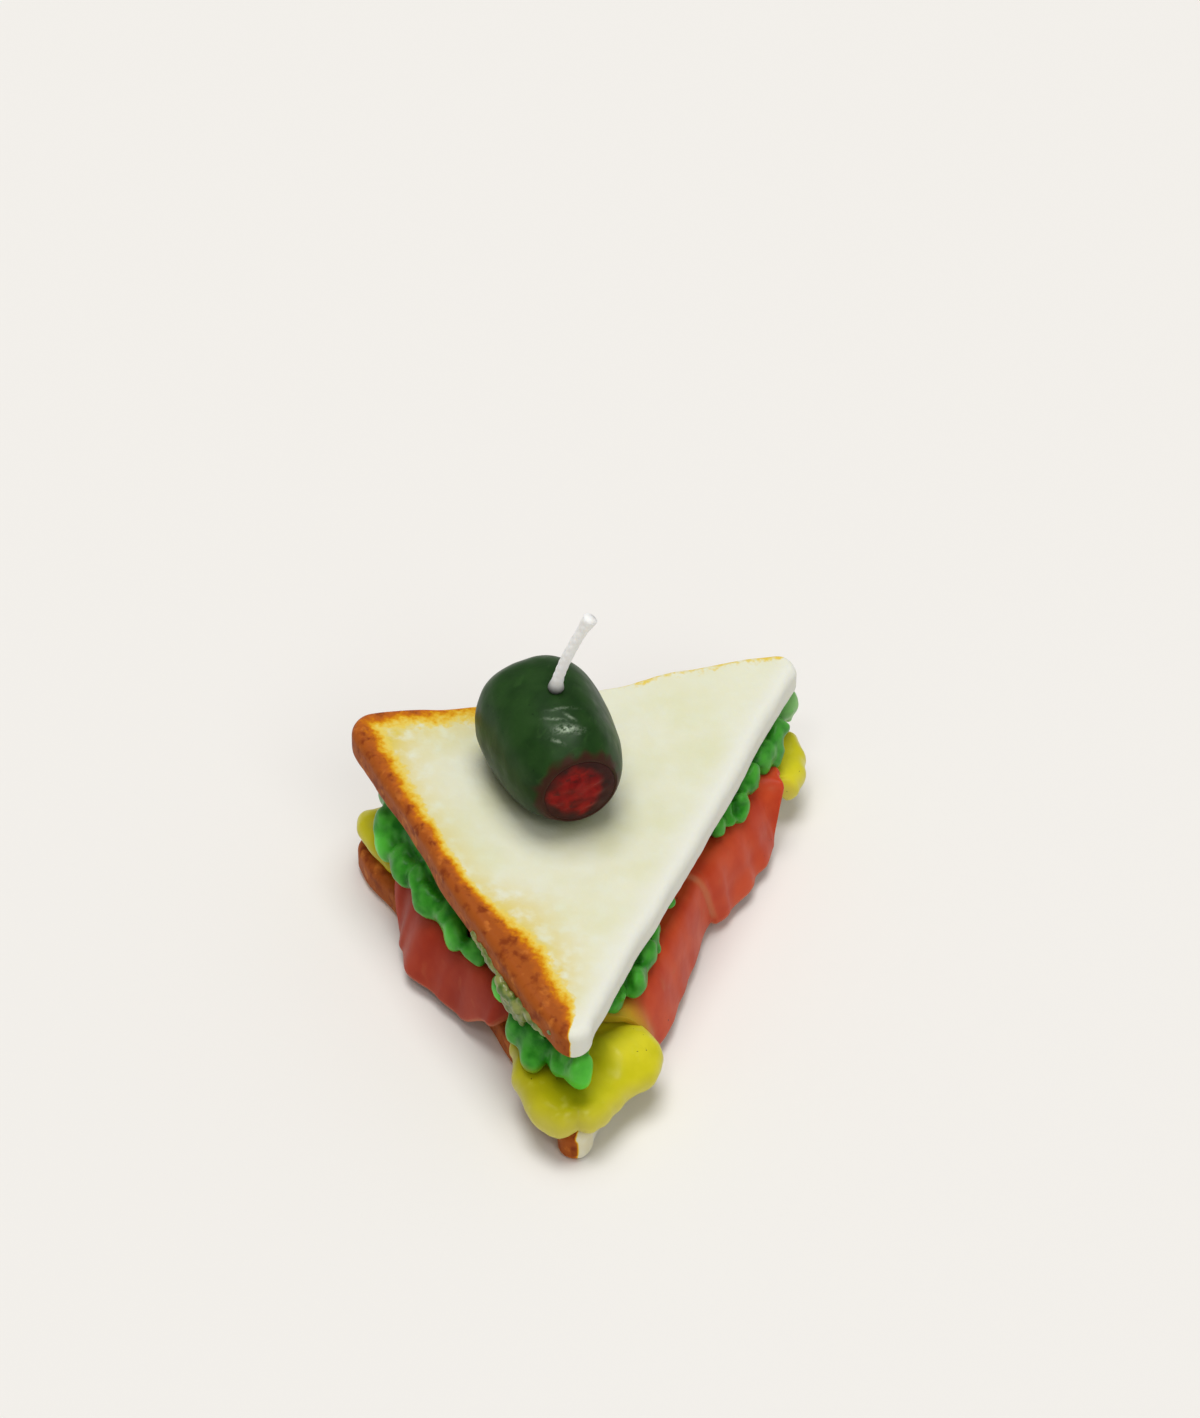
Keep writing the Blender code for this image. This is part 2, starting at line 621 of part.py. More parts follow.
def olive(frame, material, cutter_material):
    """A barrel-shaped olive with a recess for the pimento and a socket for the wick."""
    end = math.asin(((PIMENTO_RADIUS + OLIVE_LIP) / OLIVE_RADIUS) ** (FRONT_SQUARENESS / 2))
    profile = []
    steps = 13
    for step in range(1, steps + 1):
        angle = math.pi - (math.pi - end) * step / steps
        blunt = math.cos(angle) < 0
        power = 2 / (BACK_SQUARENESS if blunt else FRONT_SQUARENESS)
        half = -OLIVE_BACK if blunt else OLIVE_FRONT
        profile.append((half * abs(math.cos(angle)) ** power, OLIVE_RADIUS * math.sin(angle) ** power))
    face = profile[-1][0]
    floor = face - PIMENTO_DEPTH
    profile += [(face, PIMENTO_RADIUS + GAP), (floor, PIMENTO_RADIUS + GAP)]
    thing = turned("olive", profile, 28, -OLIVE_BACK, floor, frame, material)
    bottom, top = -WICK_SOCKET_DEPTH, 2 * WICK_SOCKET_DEPTH
    bore = [(bottom, WICK_SOCKET_RADIUS), (top, WICK_SOCKET_RADIUS)]
    socket = turned("wick_socket_cutter", bore, 12, bottom, top, wick_frame(frame), cutter_material)
    socket.hide_render = True
    socket.display_type = "WIRE"
    drill = thing.modifiers.new("socket", "BOOLEAN")
    drill.operation = "DIFFERENCE"
    drill.solver = "EXACT"
    drill.object = socket
    return face


def pimento(frame, face, material):
    """The red plug in the olive's end, slightly domed."""
    back = face - PIMENTO_DEPTH + GAP
    profile = [(back, PIMENTO_RADIUS), (face - 0.5 * MM, PIMENTO_RADIUS),
               (face + PIMENTO_DOME / 4, PIMENTO_RADIUS * 0.85),
               (face + PIMENTO_DOME * 0.8, PIMENTO_RADIUS * 0.45)]
    return turned("pimento", profile, 24, back, face + PIMENTO_DOME, frame, material)


def wick_frame(frame):
    """Where the wick leaves the olive: on its top, with the vertical as axis."""
    middle = frame[0]
    foot = Vector((middle.x + WICK_PLACE[0], middle.y + WICK_PLACE[1], middle.z + OLIVE_RADIUS))
    lean = Vector((math.cos(WICK_HEADING), math.sin(WICK_HEADING), 0))
    up = Vector((0, 0, 1))
    return foot, up, lean, up.cross(lean)


def wick(frame, material):
    """The cotton wick, stiff with wax, leaning over, with a collar of wax at its foot."""
    foot, up, lean, across = wick_frame(frame)
    collar_top = 2.6 * MM
    heights = [-WICK_SOCKET_DEPTH + GAP, 0.25 * MM, GAP, 1.6 * MM]
    heights += [collar_top + (WICK_HEIGHT - collar_top) * step / 7 for step in range(8)]
    radii = [WICK_RADIUS, WICK_RADIUS, WICK_COLLAR_RADIUS, 1.6 * MM]
    radii += [WICK_RADIUS] * 7 + [WICK_RADIUS * 1.3]
    sides = 10
    curl = 1.4
    rings = []
    for height, radius in zip(heights, radii):
        share = max(height, 0) / WICK_HEIGHT
        centre = foot + up * height + lean * WICK_LEAN * share ** curl
        tilt = lean * WICK_LEAN * curl * share ** (curl - 1) / WICK_HEIGHT
        axis = (up + tilt).normalized()
        side = across.cross(axis).normalized()
        other = axis.cross(side)
        turns = [2 * math.pi * j / sides for j in range(sides)]
        rings.append([tuple(centre + (side * math.cos(a) + other * math.sin(a)) * radius) for a in turns])
    rings = rings[::-1]
    poles = [tuple(sum((Vector(p) for p in ring), Vector()) / sides) for ring in (rings[0], rings[-1])]
    return skin("wick", rings, poles[0], poles[1], material)


def build():
    """Make every piece of the candle."""
    clear_scene()
    bread = wax("bread wax", (0.78, 0.76, 0.56), 0.5)
    bread_bottom(bread)
    cheese(wax("cheese wax", (0.58, 0.5, 0.03), 0.4))
    ham(wax("ham wax", (0.5, 0.08, 0.04), 0.45))
    lettuce(wax("lettuce wax", (0.05, 0.27, 0.03), 0.4))
    bread_top(bread)
    frame = olive_frame()
    olive_wax = wax("olive wax", (0.02, 0.06, 0.015), 0.35)
    face = olive(frame, olive_wax, olive_wax)
    pimento(frame, face, wax("pimento wax", (0.2, 0.01, 0.01), 0.4))
    wick(frame, wax("cotton", (0.78, 0.76, 0.7), 0.8))


build()
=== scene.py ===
"""Wax candle in the form of a triangular sandwich half: its look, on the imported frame.

Sizes are in millimetres and become metres where a mesh is made. Seen from above, corner A, the
loaf's own, points to +Y, C to -X and B to +X. A place on the edge is the distance run from A
along the sharp triangle, counterclockwise: crust side AC, white cut side CB, crust side BA.
"""

import math

import bmesh
import bpy
import numpy as np
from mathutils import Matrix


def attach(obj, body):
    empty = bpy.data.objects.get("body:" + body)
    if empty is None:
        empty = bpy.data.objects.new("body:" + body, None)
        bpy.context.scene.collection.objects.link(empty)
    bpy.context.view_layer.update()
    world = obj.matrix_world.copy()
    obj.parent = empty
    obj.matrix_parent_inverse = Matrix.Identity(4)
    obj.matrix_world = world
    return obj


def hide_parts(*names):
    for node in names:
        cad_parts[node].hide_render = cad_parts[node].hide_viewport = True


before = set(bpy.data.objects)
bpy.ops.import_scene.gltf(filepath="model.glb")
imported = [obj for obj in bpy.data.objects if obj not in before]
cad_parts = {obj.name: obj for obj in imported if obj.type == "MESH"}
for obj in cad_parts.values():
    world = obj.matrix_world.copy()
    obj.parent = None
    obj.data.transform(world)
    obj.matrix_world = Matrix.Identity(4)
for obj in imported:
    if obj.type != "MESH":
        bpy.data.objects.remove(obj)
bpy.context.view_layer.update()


# ---------------------------------------------------------------- camera
# The candle is looked down on from 40 degrees above the table, over the corner C, with a long
# lens, so that the crust side AC lies to the left and the white cut side CB to the right.


def turned_along(sight):
    """The turn of a camera or lamp that looks along a unit vector: about X, then about Z."""
    return math.acos(-sight[2]), 0.0, math.atan2(-sight[0], sight[1])


lens = bpy.data.cameras.new("lens")
lens.lens = 116.4
lens.sensor_fit = "VERTICAL"
lens.sensor_width = lens.sensor_height = 36.0
lens.clip_start, lens.clip_end = 0.01, 20.0
camera = bpy.data.objects.new("camera", lens)
bpy.context.collection.objects.link(camera)
bpy.context.scene.camera = camera
eye = np.array([-0.6463, -0.2718, 0.6415])
aim = np.array([0.0650, 0.0084, 0.0])
camera.location = eye
camera.rotation_euler = turned_along((aim - eye) / np.linalg.norm(aim - eye))


# ---------------------------------------------------------------- lower slice
# A half slice of white bread in cream wax, cast flat in an open mould. The two crust sides were
# painted brown while the wax was warm, so that the brown runs a little over the edges, and it
# lies flat on the table under everything else.

MM = 0.001
CRUST_SIDE = 100.0
HALF_APEX = math.radians(40)
CUT_SIDE = 2 * CRUST_SIDE * math.sin(HALF_APEX)
DEPTH = CRUST_SIDE * math.cos(HALF_APEX)
CRUST_DEPTH = CRUST_SIDE * math.sin(2 * HALF_APEX)
CORNERS = np.array([[0, DEPTH / 2], [-CUT_SIDE / 2, -DEPTH / 2], [CUT_SIDE / 2, -DEPTH / 2]])
AC, CB, BA = 0.0, CRUST_SIDE, CRUST_SIDE + CUT_SIDE
PERIMETER = BA + CRUST_SIDE
STATIONS = 720
SLICE_THICKNESS = 7.2
place = np.arange(STATIONS) * PERIMETER / STATIONS


def winding(place, turning_points):
    """A closed line round the edge: half a cosine wave from each (place, value) to the next."""
    stops, values = np.array(sorted(turning_points)).T
    stops = np.concatenate([[stops[-1] - PERIMETER], stops, [stops[0] + PERIMETER]])
    values = np.concatenate([values[-1:], values, values[:1]])
    before = np.searchsorted(stops, place, side="right") - 1
    share = (place - stops[before]) / (stops[before + 1] - stops[before])
    rise = (1 - np.cos(np.pi * share)) / 2
    return values[before] * (1 - rise) + values[before + 1] * rise


def step(low, high, value):
    """An S curve from 0 at low to 1 at high: 3 t squared minus 2 t cubed."""
    t = np.clip((value - low) / (high - low), 0, 1)
    return t * t * (3 - 2 * t)


def rounded_triangle(place, radii):
    """Plan points and outward normals at places on the triangle with corners of these radii.

    On a side the point is the corner plus the run along the side. Within radius / tan(half the
    corner's angle) of a corner it is centre + radius * (cos a, sin a), where a turns evenly from
    one side's normal to the next one's.
    """
    radii = np.asarray(radii, float)
    onward = np.roll(CORNERS, -1, 0) - CORNERS
    onward /= np.linalg.norm(onward, axis=1)[:, None]
    back = -np.roll(onward, 1, 0)
    inward = back + onward
    inward /= np.linalg.norm(inward, axis=1)[:, None]
    half = np.arccos((back * onward).sum(1)) / 2
    tangent = radii / np.tan(half)
    first = np.arctan2(-inward[:, 1], -inward[:, 0]) - (np.pi / 2 - half)
    run = (place[:, None] - np.array([AC, CB, BA]) + PERIMETER / 2) % PERIMETER - PERIMETER / 2
    i = np.argmin(np.abs(run), axis=1)
    run = run[np.arange(len(place)), i]
    share = np.clip((run / tangent[i] + 1) / 2, 0, 1)
    angle = first[i] + (np.pi - 2 * half[i]) * share
    normal = np.stack([np.cos(angle), np.sin(angle)], 1)
    centre = CORNERS[i] + inward[i] * (radii[i] / np.sin(half[i]))[:, None]
    curved = centre + normal * radii[i][:, None]
    side = np.where((run > 0)[:, None], onward[i], -back[i])
    straight = CORNERS[i] + side * run[:, None]
    return np.where((np.abs(run) < tangent[i])[:, None], curved, straight), normal


def corner_shares(x, y):
    """How much of the corners A, B and C is in a plan point; the three shares make 1."""
    a = (y + DEPTH / 2) / DEPTH
    b = (1 - a) / 2 + x / CUT_SIDE
    return a, b, 1 - a - b


def unevenness(points, size, seed):
    """A smooth random swell, about -1 to 1: 24 plane waves about size long, added up."""
    draw = np.random.default_rng(seed)
    heading = draw.normal(size=(24, 3))
    heading /= np.linalg.norm(heading, axis=1)[:, None]
    length = size * draw.uniform(0.7, 1.6, 24)
    phase = draw.uniform(0, 2 * np.pi, 24)
    return np.cos(points @ (heading / length[:, None]).T * 2 * np.pi + phase).sum(-1) / math.sqrt(24)


def outward(rows):
    """Unit normals of rows of points: the step from row to row crossed with the step along."""
    along = np.roll(rows, -1, 1) - np.roll(rows, 1, 1)
    normal = np.cross(np.gradient(rows, axis=0), along)
    return normal / (np.linalg.norm(normal, axis=-1, keepdims=True) + 1e-9)


def lifted(plans, heights):
    """Plan points with their heights."""
    return np.concatenate([plans, heights[..., None]], -1)


def level(height):
    """A flat face at this height, as a height function of the plan."""
    return lambda x, y: np.full(np.shape(x), float(height))


def skin(rows):
    """Points and faces of a closed skin over rows of points.

    The rows run from one end to the other, each counterclockwise seen from the first end. Point
    (i, j) joins (i + 1, j + 1) in four-sided faces and a fan from the row's mean closes each end.
    """
    count = rows.shape[1]
    points = np.concatenate([rows[0].mean(0)[None], rows.reshape(-1, 3), rows[-1].mean(0)[None]])
    j = np.arange(count)
    k = (j + 1) % count
    start = 1 + np.arange(len(rows))[:, None] * count
    sides = np.stack([start[:-1] + j, start[1:] + j, start[1:] + k, start[:-1] + k], -1)
    head = np.stack([0 * j, 1 + j, 1 + k], 1)
    foot = np.stack([0 * j + len(points) - 1, start[-1] + k, start[-1] + j], 1)
    return points, sides.reshape(-1, 4).tolist() + head.tolist() + foot.tolist()


def carry(mesh, paint_name, values):
    """Writes a paint's values, one for each point, into the mesh."""
    attribute = mesh.attributes.new(paint_name, "FLOAT", "POINT")
    attribute.data.foreach_set("value", values.astype(np.float32))


def closed_skin(name, rows, paints, material):
    """A closed piece over rows of points in millimetres, which carries a value of each paint."""
    points, faces = skin(rows)
    mesh = bpy.data.meshes.new(name)
    mesh.from_pydata(points * MM, [], faces)
    for key, value in paints.items():
        value = np.broadcast_to(value, rows.shape[:2])
        carry(mesh, key, np.concatenate([[value[0].mean()], value.ravel(), [value[-1].mean()]]))
    return piece(name, mesh, material)


def piece(name, mesh, material):
    """A smooth-shaded object of this mesh and material that rides on the candle."""
    mesh.shade_smooth()
    mesh.materials.append(material)
    thing = bpy.data.objects.new(name, mesh)
    bpy.context.collection.objects.link(thing)
    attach(thing, "root")
    return thing


def paint(red, green, blue):
    """A screen colour of 0 to 255 as linear light: ((c / 255 + 0.055) / 1.055) to the power 2.4."""
    return tuple(((c / 255 + 0.055) / 1.055) ** 2.4 for c in (red, green, blue)) + (1.0,)


class Recipe:
    """The nodes of one material, with a method for each kind of step in it."""

    def __init__(self, name, roughness, depth=0.0, glow=(1.0, 0.75, 0.4), shine=0.2):
        """depth is how many millimetres light wanders in the wax, glow how far each colour goes."""
        self.material = bpy.data.materials.new(name)
        self.material.use_nodes = True
        self.tree = self.material.node_tree
        self.shader = self.tree.nodes["Principled BSDF"]
        self.shader.inputs["Roughness"].default_value = roughness
        self.shader.inputs["Specular IOR Level"].default_value = shine
        if depth:
            self.shader.inputs["Subsurface Weight"].default_value = 0.35
            self.shader.inputs["Subsurface Radius"].default_value = glow
            self.shader.inputs["Subsurface Scale"].default_value = depth * MM
        self.point = self.tree.nodes.new("ShaderNodeTexCoord").outputs["Object"]

    def node(self, kind, outlet, inlets, **settings):
        """One node: its settings, then each inlet, linked from an outlet or set to a value."""
        made = self.tree.nodes.new(kind)
        for key, value in settings.items():
            setattr(made, key, value)
        for key, value in inlets.items():
            if isinstance(value, bpy.types.NodeSocket):
                self.tree.links.new(value, made.inputs[key])
            else:
                made.inputs[key].default_value = value
        return made.outputs[outlet]

    def grain(self, size, detail=2.0, stretch=(1, 1, 1), shift=0.0, warp=0.0):
        """Noise between 0 and 1 with spots about size millimetres wide, stretched per axis."""
        across = tuple(1 / s for s in stretch)
        point = self.node("ShaderNodeVectorMath", 0, {0: self.point, 1: across}, operation="MULTIPLY")
        point = self.node("ShaderNodeVectorMath", 0, {0: point, 1: (shift,) * 3}, operation="ADD")
        return self.node("ShaderNodeTexNoise", 0, {
            "Vector": point, "Scale": 1 / (size * MM), "Detail": detail, "Distortion": warp})

    def painted(self, name):
        """The value that the mesh carries under this name."""
        return self.node("ShaderNodeAttribute", "Fac", {}, attribute_name=name)

    def mixed(self, first, factor, second, amount):
        """first * factor + second * amount, of two values."""
        scaled = self.times(second, amount)
        return self.node("ShaderNodeMath", 0, {0: first, 1: factor, 2: scaled},
                         operation="MULTIPLY_ADD")

    def between(self, value, low, high):
        """0 where value is low, 1 where it is high, an S curve between."""
        return self.node("ShaderNodeMapRange", 0, {"Value": value, "From Min": low, "From Max": high},
                         interpolation_type="SMOOTHSTEP")

    def times(self, first, second):
        """The product of two values."""
        return self.node("ShaderNodeMath", 0, {0: first, 1: second}, operation="MULTIPLY")

    def shades(self, value, *stops):
        """The colour at value on a line of (position, colour) stops."""
        outlet = self.node("ShaderNodeValToRGB", 0, {0: value})
        ramp = outlet.node.color_ramp
        while len(ramp.elements) < len(stops):
            ramp.elements.new(1.0)
        for element, (position, colour) in zip(ramp.elements, stops):
            element.position, element.color = position, colour
        return outlet

    def blend(self, share, first, second):
        """first where share is 0, second where it is 1."""
        return self.node("ShaderNodeMix", 2, {0: share, 6: first, 7: second}, data_type="RGBA")

    def over(self, colour, *layers):
        """The colour with layers of (share, strength, colour) laid over it in turn."""
        for share, strength, layer in layers:
            colour = self.blend(self.times(share, strength), colour, layer)
        return colour

    def finish(self, colour, heights, roughness=None):
        """The colour, then bumps of (height value, millimetres), and maybe a roughness value."""
        self.tree.links.new(colour, self.shader.inputs["Base Color"])
        normal = None
        for height, rise in heights:
            inlets = {"Height": height, "Distance": rise * MM, "Strength": 1.0}
            if normal:
                inlets["Normal"] = normal
            normal = self.node("ShaderNodeBump", 0, inlets)
        if normal:
            self.tree.links.new(normal, self.shader.inputs["Normal"])
        if roughness:
            self.tree.links.new(roughness, self.shader.inputs["Roughness"])
        return self.material


def bread_wax():
    """Cream wax with brown painted on: rust where browning is below 1/3, then amber and yellow.

    Two sizes of grain move the shades to and fro, so that the brown ends in uneven patches, and a
    third breaks up the mellow yellow beside it.
    """
    wax = Recipe("bread wax", 0.5, depth=2.0, glow=(1.0, 0.9, 0.6), shine=0.06)
    cloud = wax.between(wax.grain(16, 2, shift=2.0), 0.4, 0.7)
    brushed = wax.between(wax.grain(3.4, 4, shift=14.0), 0.2, 0.62)
    # Round the olive's foot the cream turns greenish grey: partly a stain, partly painted shadow.
    cream = wax.over(
        wax.blend(cloud, paint(228, 229, 207), paint(223, 224, 192)),
        (wax.painted("cut"), 1.0, paint(231, 231, 219)),
        (wax.painted("mellow"), brushed, paint(220, 198, 90)),
        (wax.painted("stain_and_shadow"), 1.0, paint(160, 168, 112)))
    grain = wax.mixed(wax.grain(4.0, 3), 0.5, wax.grain(1.1, 4, shift=3.0), 0.5)
    browning = wax.mixed(wax.painted("browning"), 1.0, grain, 1.2)
    browning = wax.node("ShaderNodeMath", 0, {0: browning, 1: 0.6}, operation="SUBTRACT")
    toast = wax.shades(
        browning, (0.0, paint(164, 84, 30)), (0.26, paint(184, 98, 28)), (0.38, paint(198, 114, 18)),
        (0.48, paint(212, 142, 16)), (0.62, paint(226, 178, 46)), (0.8, paint(230, 204, 96)))
    rusty = wax.between(browning, 0.4, 0.2)
    dark = wax.between(wax.grain(2.4, 4, shift=7.0), 0.48, 0.70)
    pale = wax.between(wax.grain(3.0, 3, shift=11.0), 0.56, 0.72)
    toast = wax.over(toast, (dark, rusty, paint(132, 58, 20)),
                     (wax.times(pale, 0.6), rusty, paint(206, 122, 50)))
    colour = wax.blend(wax.between(browning, 1.02, 0.78), cream, toast)
    return wax.finish(colour, [(wax.grain(1.1, 4), 0.08), (wax.grain(5.0, 2), 0.2)])


def browned(rows, deep, bare, ac_limits, ba_limits, shift=(0.0, 0.0)):
    """The paints of a slice: how far in from the crust, how mellow and how near the cut it is.

    The limits are lines of (distance from A or from B, where the rust ends, where the cream
    begins), in millimetres inwards. Browning is 1/3 at the first and 8/9 at the second. Points
    that lie deep below the upper face count as rust, those less than bare from the cut as cream.
    """
    x, y = rows[..., 0] - shift[0], rows[..., 1] - shift[1]
    a, b, c = corner_shares(x, y)
    from_ac, from_ba, from_cb = b * CRUST_DEPTH, c * CRUST_DEPTH, a * DEPTH
    run_ac = (CORNERS[0, 0] - x) * math.sin(HALF_APEX) + (CORNERS[0, 1] - y) * math.cos(HALF_APEX)
    run_ba = (CORNERS[2, 0] - x) * math.sin(HALF_APEX) + (y - CORNERS[2, 1]) * math.cos(HALF_APEX)
    share = []
    for run, inwards, limits in ((run_ac, from_ac, ac_limits), (run_ba, from_ba, ba_limits)):
        run_stops, rust, cream = np.array(limits, float).T
        rust, cream = np.interp(run, run_stops, rust), np.interp(run, run_stops, cream)
        share.append((inwards - rust) / (cream - rust))
    browning = np.clip(np.minimum(*share), -1, 2) - 2 * step(0.8, 2.4, deep)
    browning = browning + 5 * step(bare + 1, bare - 1, from_cb)
    amount = np.interp(run_ac, [0, 8, 22, 52, 64, 100], [1.0, 0.8, 0.5, 0.55, 1.0, 1.0])
    spread = np.interp(run_ac, [0, 12, 50, 64, 100], [10.0, 7.0, 4.5, 10.0, 10.0])
    mellow = amount * np.exp(-(np.maximum(from_ac, 0) / spread) ** 2)
    mellow = mellow + 0.5 * np.exp(-(np.maximum(from_ba, 0) / 8) ** 2) * step(50, 75, run_ba)
    mellow = (mellow + 0.35 * step(0.62, 0.95, a)) * step(1, 12, from_cb) + 0.08 * step(0, 6, from_cb)
    return {"browning": (np.clip(browning, -1, 2) + 0.6) / 1.8,
            "mellow": np.clip(mellow, 0, 1), "cut": step(7.0, 0.5, from_cb)}


def slab(plan, middle, top, bottom, edge, top_shares, bottom_shares):
    """Rows of a slice with rounded edges, from the middle of its top to that of its bottom.

    The faces are the height functions top and bottom at shares of the way from the middle to the
    outline drawn in by edge. The wall stands on the outline, with a quarter circle of radius
    edge above and below: out by edge * sin t and down by edge * (1 - cos t). The outline's
    normals are evened out over a few stations, so that the edge doesn't fold in a corner.
    """
    along = np.roll(plan, -1, 0) - np.roll(plan, 1, 0)
    normal = np.stack([along[:, 1], -along[:, 0]], 1) / np.linalg.norm(along, axis=1)[:, None]
    for turn in range(4):
        normal = (normal + np.roll(normal, 1, 0) + np.roll(normal, -1, 0)) / 3
    normal /= np.linalg.norm(normal, axis=1)[:, None]
    inner = plan - normal * edge[:, None]
    faces = []
    for shares, surface in ((top_shares, top), (bottom_shares, bottom)):
        points = middle + (inner - middle) * np.asarray(shares)[:, None, None]
        faces.append(lifted(points, surface(points[..., 0], points[..., 1])))
    turn = np.linspace(0, np.pi / 2, 9)[1:, None]
    ring = inner + normal * (edge * np.sin(turn))[..., None]
    drop = edge * (1 - np.cos(turn))
    high, low = top(inner[:, 0], inner[:, 1]), bottom(inner[:, 0], inner[:, 1])
    upper, lower = lifted(ring, high - drop), lifted(ring, low + drop)
    t = np.linspace(0, 1, 9)[1:-1, None, None]
    wall = upper[-1] * (1 - t) + lower[-1] * t
    return np.concatenate([faces[0], upper, wall, lower[::-1], faces[1][::-1]])


def slice_edge(place):
    """Radius of the slices' edges: 2 along the crust, a little softer along the cut."""
    return 2.0 + 0.3 * (step(CB - 2, CB + 3, place) - step(BA - 3, BA + 2, place))


bread = bread_wax()
plan, normal = rounded_triangle(place, radii=(3.6, 2.1, 2.5))
plan = plan + normal * winding(place, [
    (AC + 1, 0.3), (AC + 9, 1.2), (AC + 21, 0.2), (AC + 58, -1.1), (AC + 76, -0.4), (AC + 89, 0.8),
    (CB - 1, 3.0), (CB + 6, 0.9), (CB + 22, 0.0), (CB + 52, -1.2), (CB + 68, -2.7), (CB + 84, -1.0),
    (CB + 122, 0.0)])[:, None]
rows = slab(plan, np.zeros(2), level(SLICE_THICKNESS), level(0.0), slice_edge(place),
            top_shares=np.linspace(0.2, 1, 10), bottom_shares=np.linspace(0.3, 1, 5))
even_limits = [(0, 2, 4), (CRUST_SIDE, 2, 4)]
paints = browned(rows, SLICE_THICKNESS - rows[..., 2], 0.6, even_limits, even_limits)
rows += outward(rows) * (0.12 * unevenness(rows, 9, 1) * step(0.0, 1.5, rows[..., 2]))[..., None]
# The brown turns amber along the bottom edge of the lower slice, a painted highlight.
paints["browning"] = paints["browning"] + 0.6 * step(2.4, 0.6, rows[..., 2])
paints["mellow"] = np.maximum(paints["mellow"], 0.35 * step(-52, -62, rows[..., 0]))
lower_slice = closed_skin("lower_slice", rows, {**paints, "stain_and_shadow": 0.0}, bread)
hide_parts("bread_bottom")


# ---------------------------------------------------------------- cheese
# A thick slice of yellow wax, laid on while warm, so that its corners sagged over the bread in
# soft lobes with a drop hanging at the front. The ham covers it along the sides.

GAP = 0.3
CHEESE_TOP = 12.6
FLAT_ROWS, BEND_ROWS, CAP_ROWS = 7, 19, 13
RIM_ROW = FLAT_ROWS + BEND_ROWS + CAP_ROWS / 2
SHARP = (0.01, 0.01, 0.01)


def cheese_top(x, y):
    """Flat under the ham, with a smooth mound at A and one on the cut side near C."""
    a, b, c = corner_shares(x, y)
    near_c = step(0.77, 0.87, c) * step(9, 14, b * CRUST_DEPTH)
    return CHEESE_TOP + 3.8 * (step(0.88, 0.95, a) + near_c)


def draped(radii, heart_radii, reach, bend_from, rim_height, rim_half, bottom, top, held_to, ease):
    """Rows of a filling that lies flat inside and bends down to a round rim.

    From the heart outline, moved out by bend_from, to the rim, reach outside its own outline, the
    middle height and half the thickness go from the layer's own to the rim's with share to the
    power ease. Both faces lie at right angles to the sloping middle, a half circle closes the
    rim, and within held_to of the triangle the lower face stays on what carries it.
    """
    outline, normal = rounded_triangle(place, radii)
    heart, heart_normal = rounded_triangle(place, heart_radii)
    inner = heart + heart_normal * bend_from[:, None]
    rim = outline + normal * (reach - rim_half)[:, None]
    t = np.linspace(0, 1, BEND_ROWS)[:, None]
    plans = inner * (1 - t[..., None]) + rim * t[..., None]
    high, low = (face(plans[..., 0], plans[..., 1]) for face in (top, bottom))
    mean = (high + low) / 2 * (1 - t ** ease) + rim_height * t ** ease
    half = (high - low) / 2 * (1 - t ** ease) + rim_half * t ** ease
    slope = np.arctan2(np.gradient(mean, t[:, 0], axis=0), np.linalg.norm(rim - inner, axis=1))
    slope[0] = 0
    tilt = (-np.sin(slope) * half)[..., None] * normal
    upper = lifted(plans + tilt, mean + np.cos(slope) * half)
    lower = lifted(plans - tilt, mean - np.cos(slope) * half)
    turn = slope[-1] + np.pi / 2 - np.pi * np.linspace(0, 1, CAP_ROWS + 2)[1:-1, None]
    cap = lifted(rim + (np.cos(turn) * rim_half)[..., None] * normal,
                 rim_height + np.sin(turn) * rim_half)
    flat = inner * np.linspace(0.15, 0.95, FLAT_ROWS)[:, None, None]
    faces = [lifted(flat, face(flat[..., 0], flat[..., 1])) for face in (top, bottom)]
    rows = np.concatenate([faces[0], upper, cap, lower[::-1], faces[1][::-1]])
    x, y = rows[..., 0], rows[..., 1]
    a, b, c = corner_shares(x, y)
    outside = np.maximum(-a * DEPTH, -np.minimum(b, c) * CRUST_DEPTH)
    under = np.arange(len(rows))[:, None] >= FLAT_ROWS + BEND_ROWS
    floor = np.where(under & (outside < held_to), bottom(x, y), -np.inf)
    rows[..., 2] = np.maximum(rows[..., 2], floor)
    return rows


def near_rim(rows, past=0.0):
    """1 on the row at a draped filling's rim, or past it by so many rows, and 0 nine rows off."""
    away = np.abs(np.arange(len(rows)) - RIM_ROW - past)
    return step(9, 0, away)[:, None]


def spot(where, out, height):
    """The point at a place on the edge, so far outside the sharp triangle and so high."""
    point, normal = rounded_triangle(np.array([float(where)]), SHARP)
    return np.append(point[0] + normal[0] * out, height)


def bell(points, centre, size):
    """exp(-(distance / size) squared): 1 at the centre, fading away round it."""
    return np.exp(-((points - centre) ** 2).sum(-1) / size ** 2)


def swell(rows, centre, size, rise):
    """A soft lump on the surface: rise times the bell there, along the normals."""
    return rows + outward(rows) * (rise * bell(rows, centre, size))[..., None]


def crease(rows, start, end, width, rise):
    """A ridge, or a groove where rise is negative, along a straight line between two points."""
    line = end - start
    t = np.clip((rows - start) @ line / (line @ line), 0, 1)
    return swell(rows, start + t[..., None] * line, width, rise)


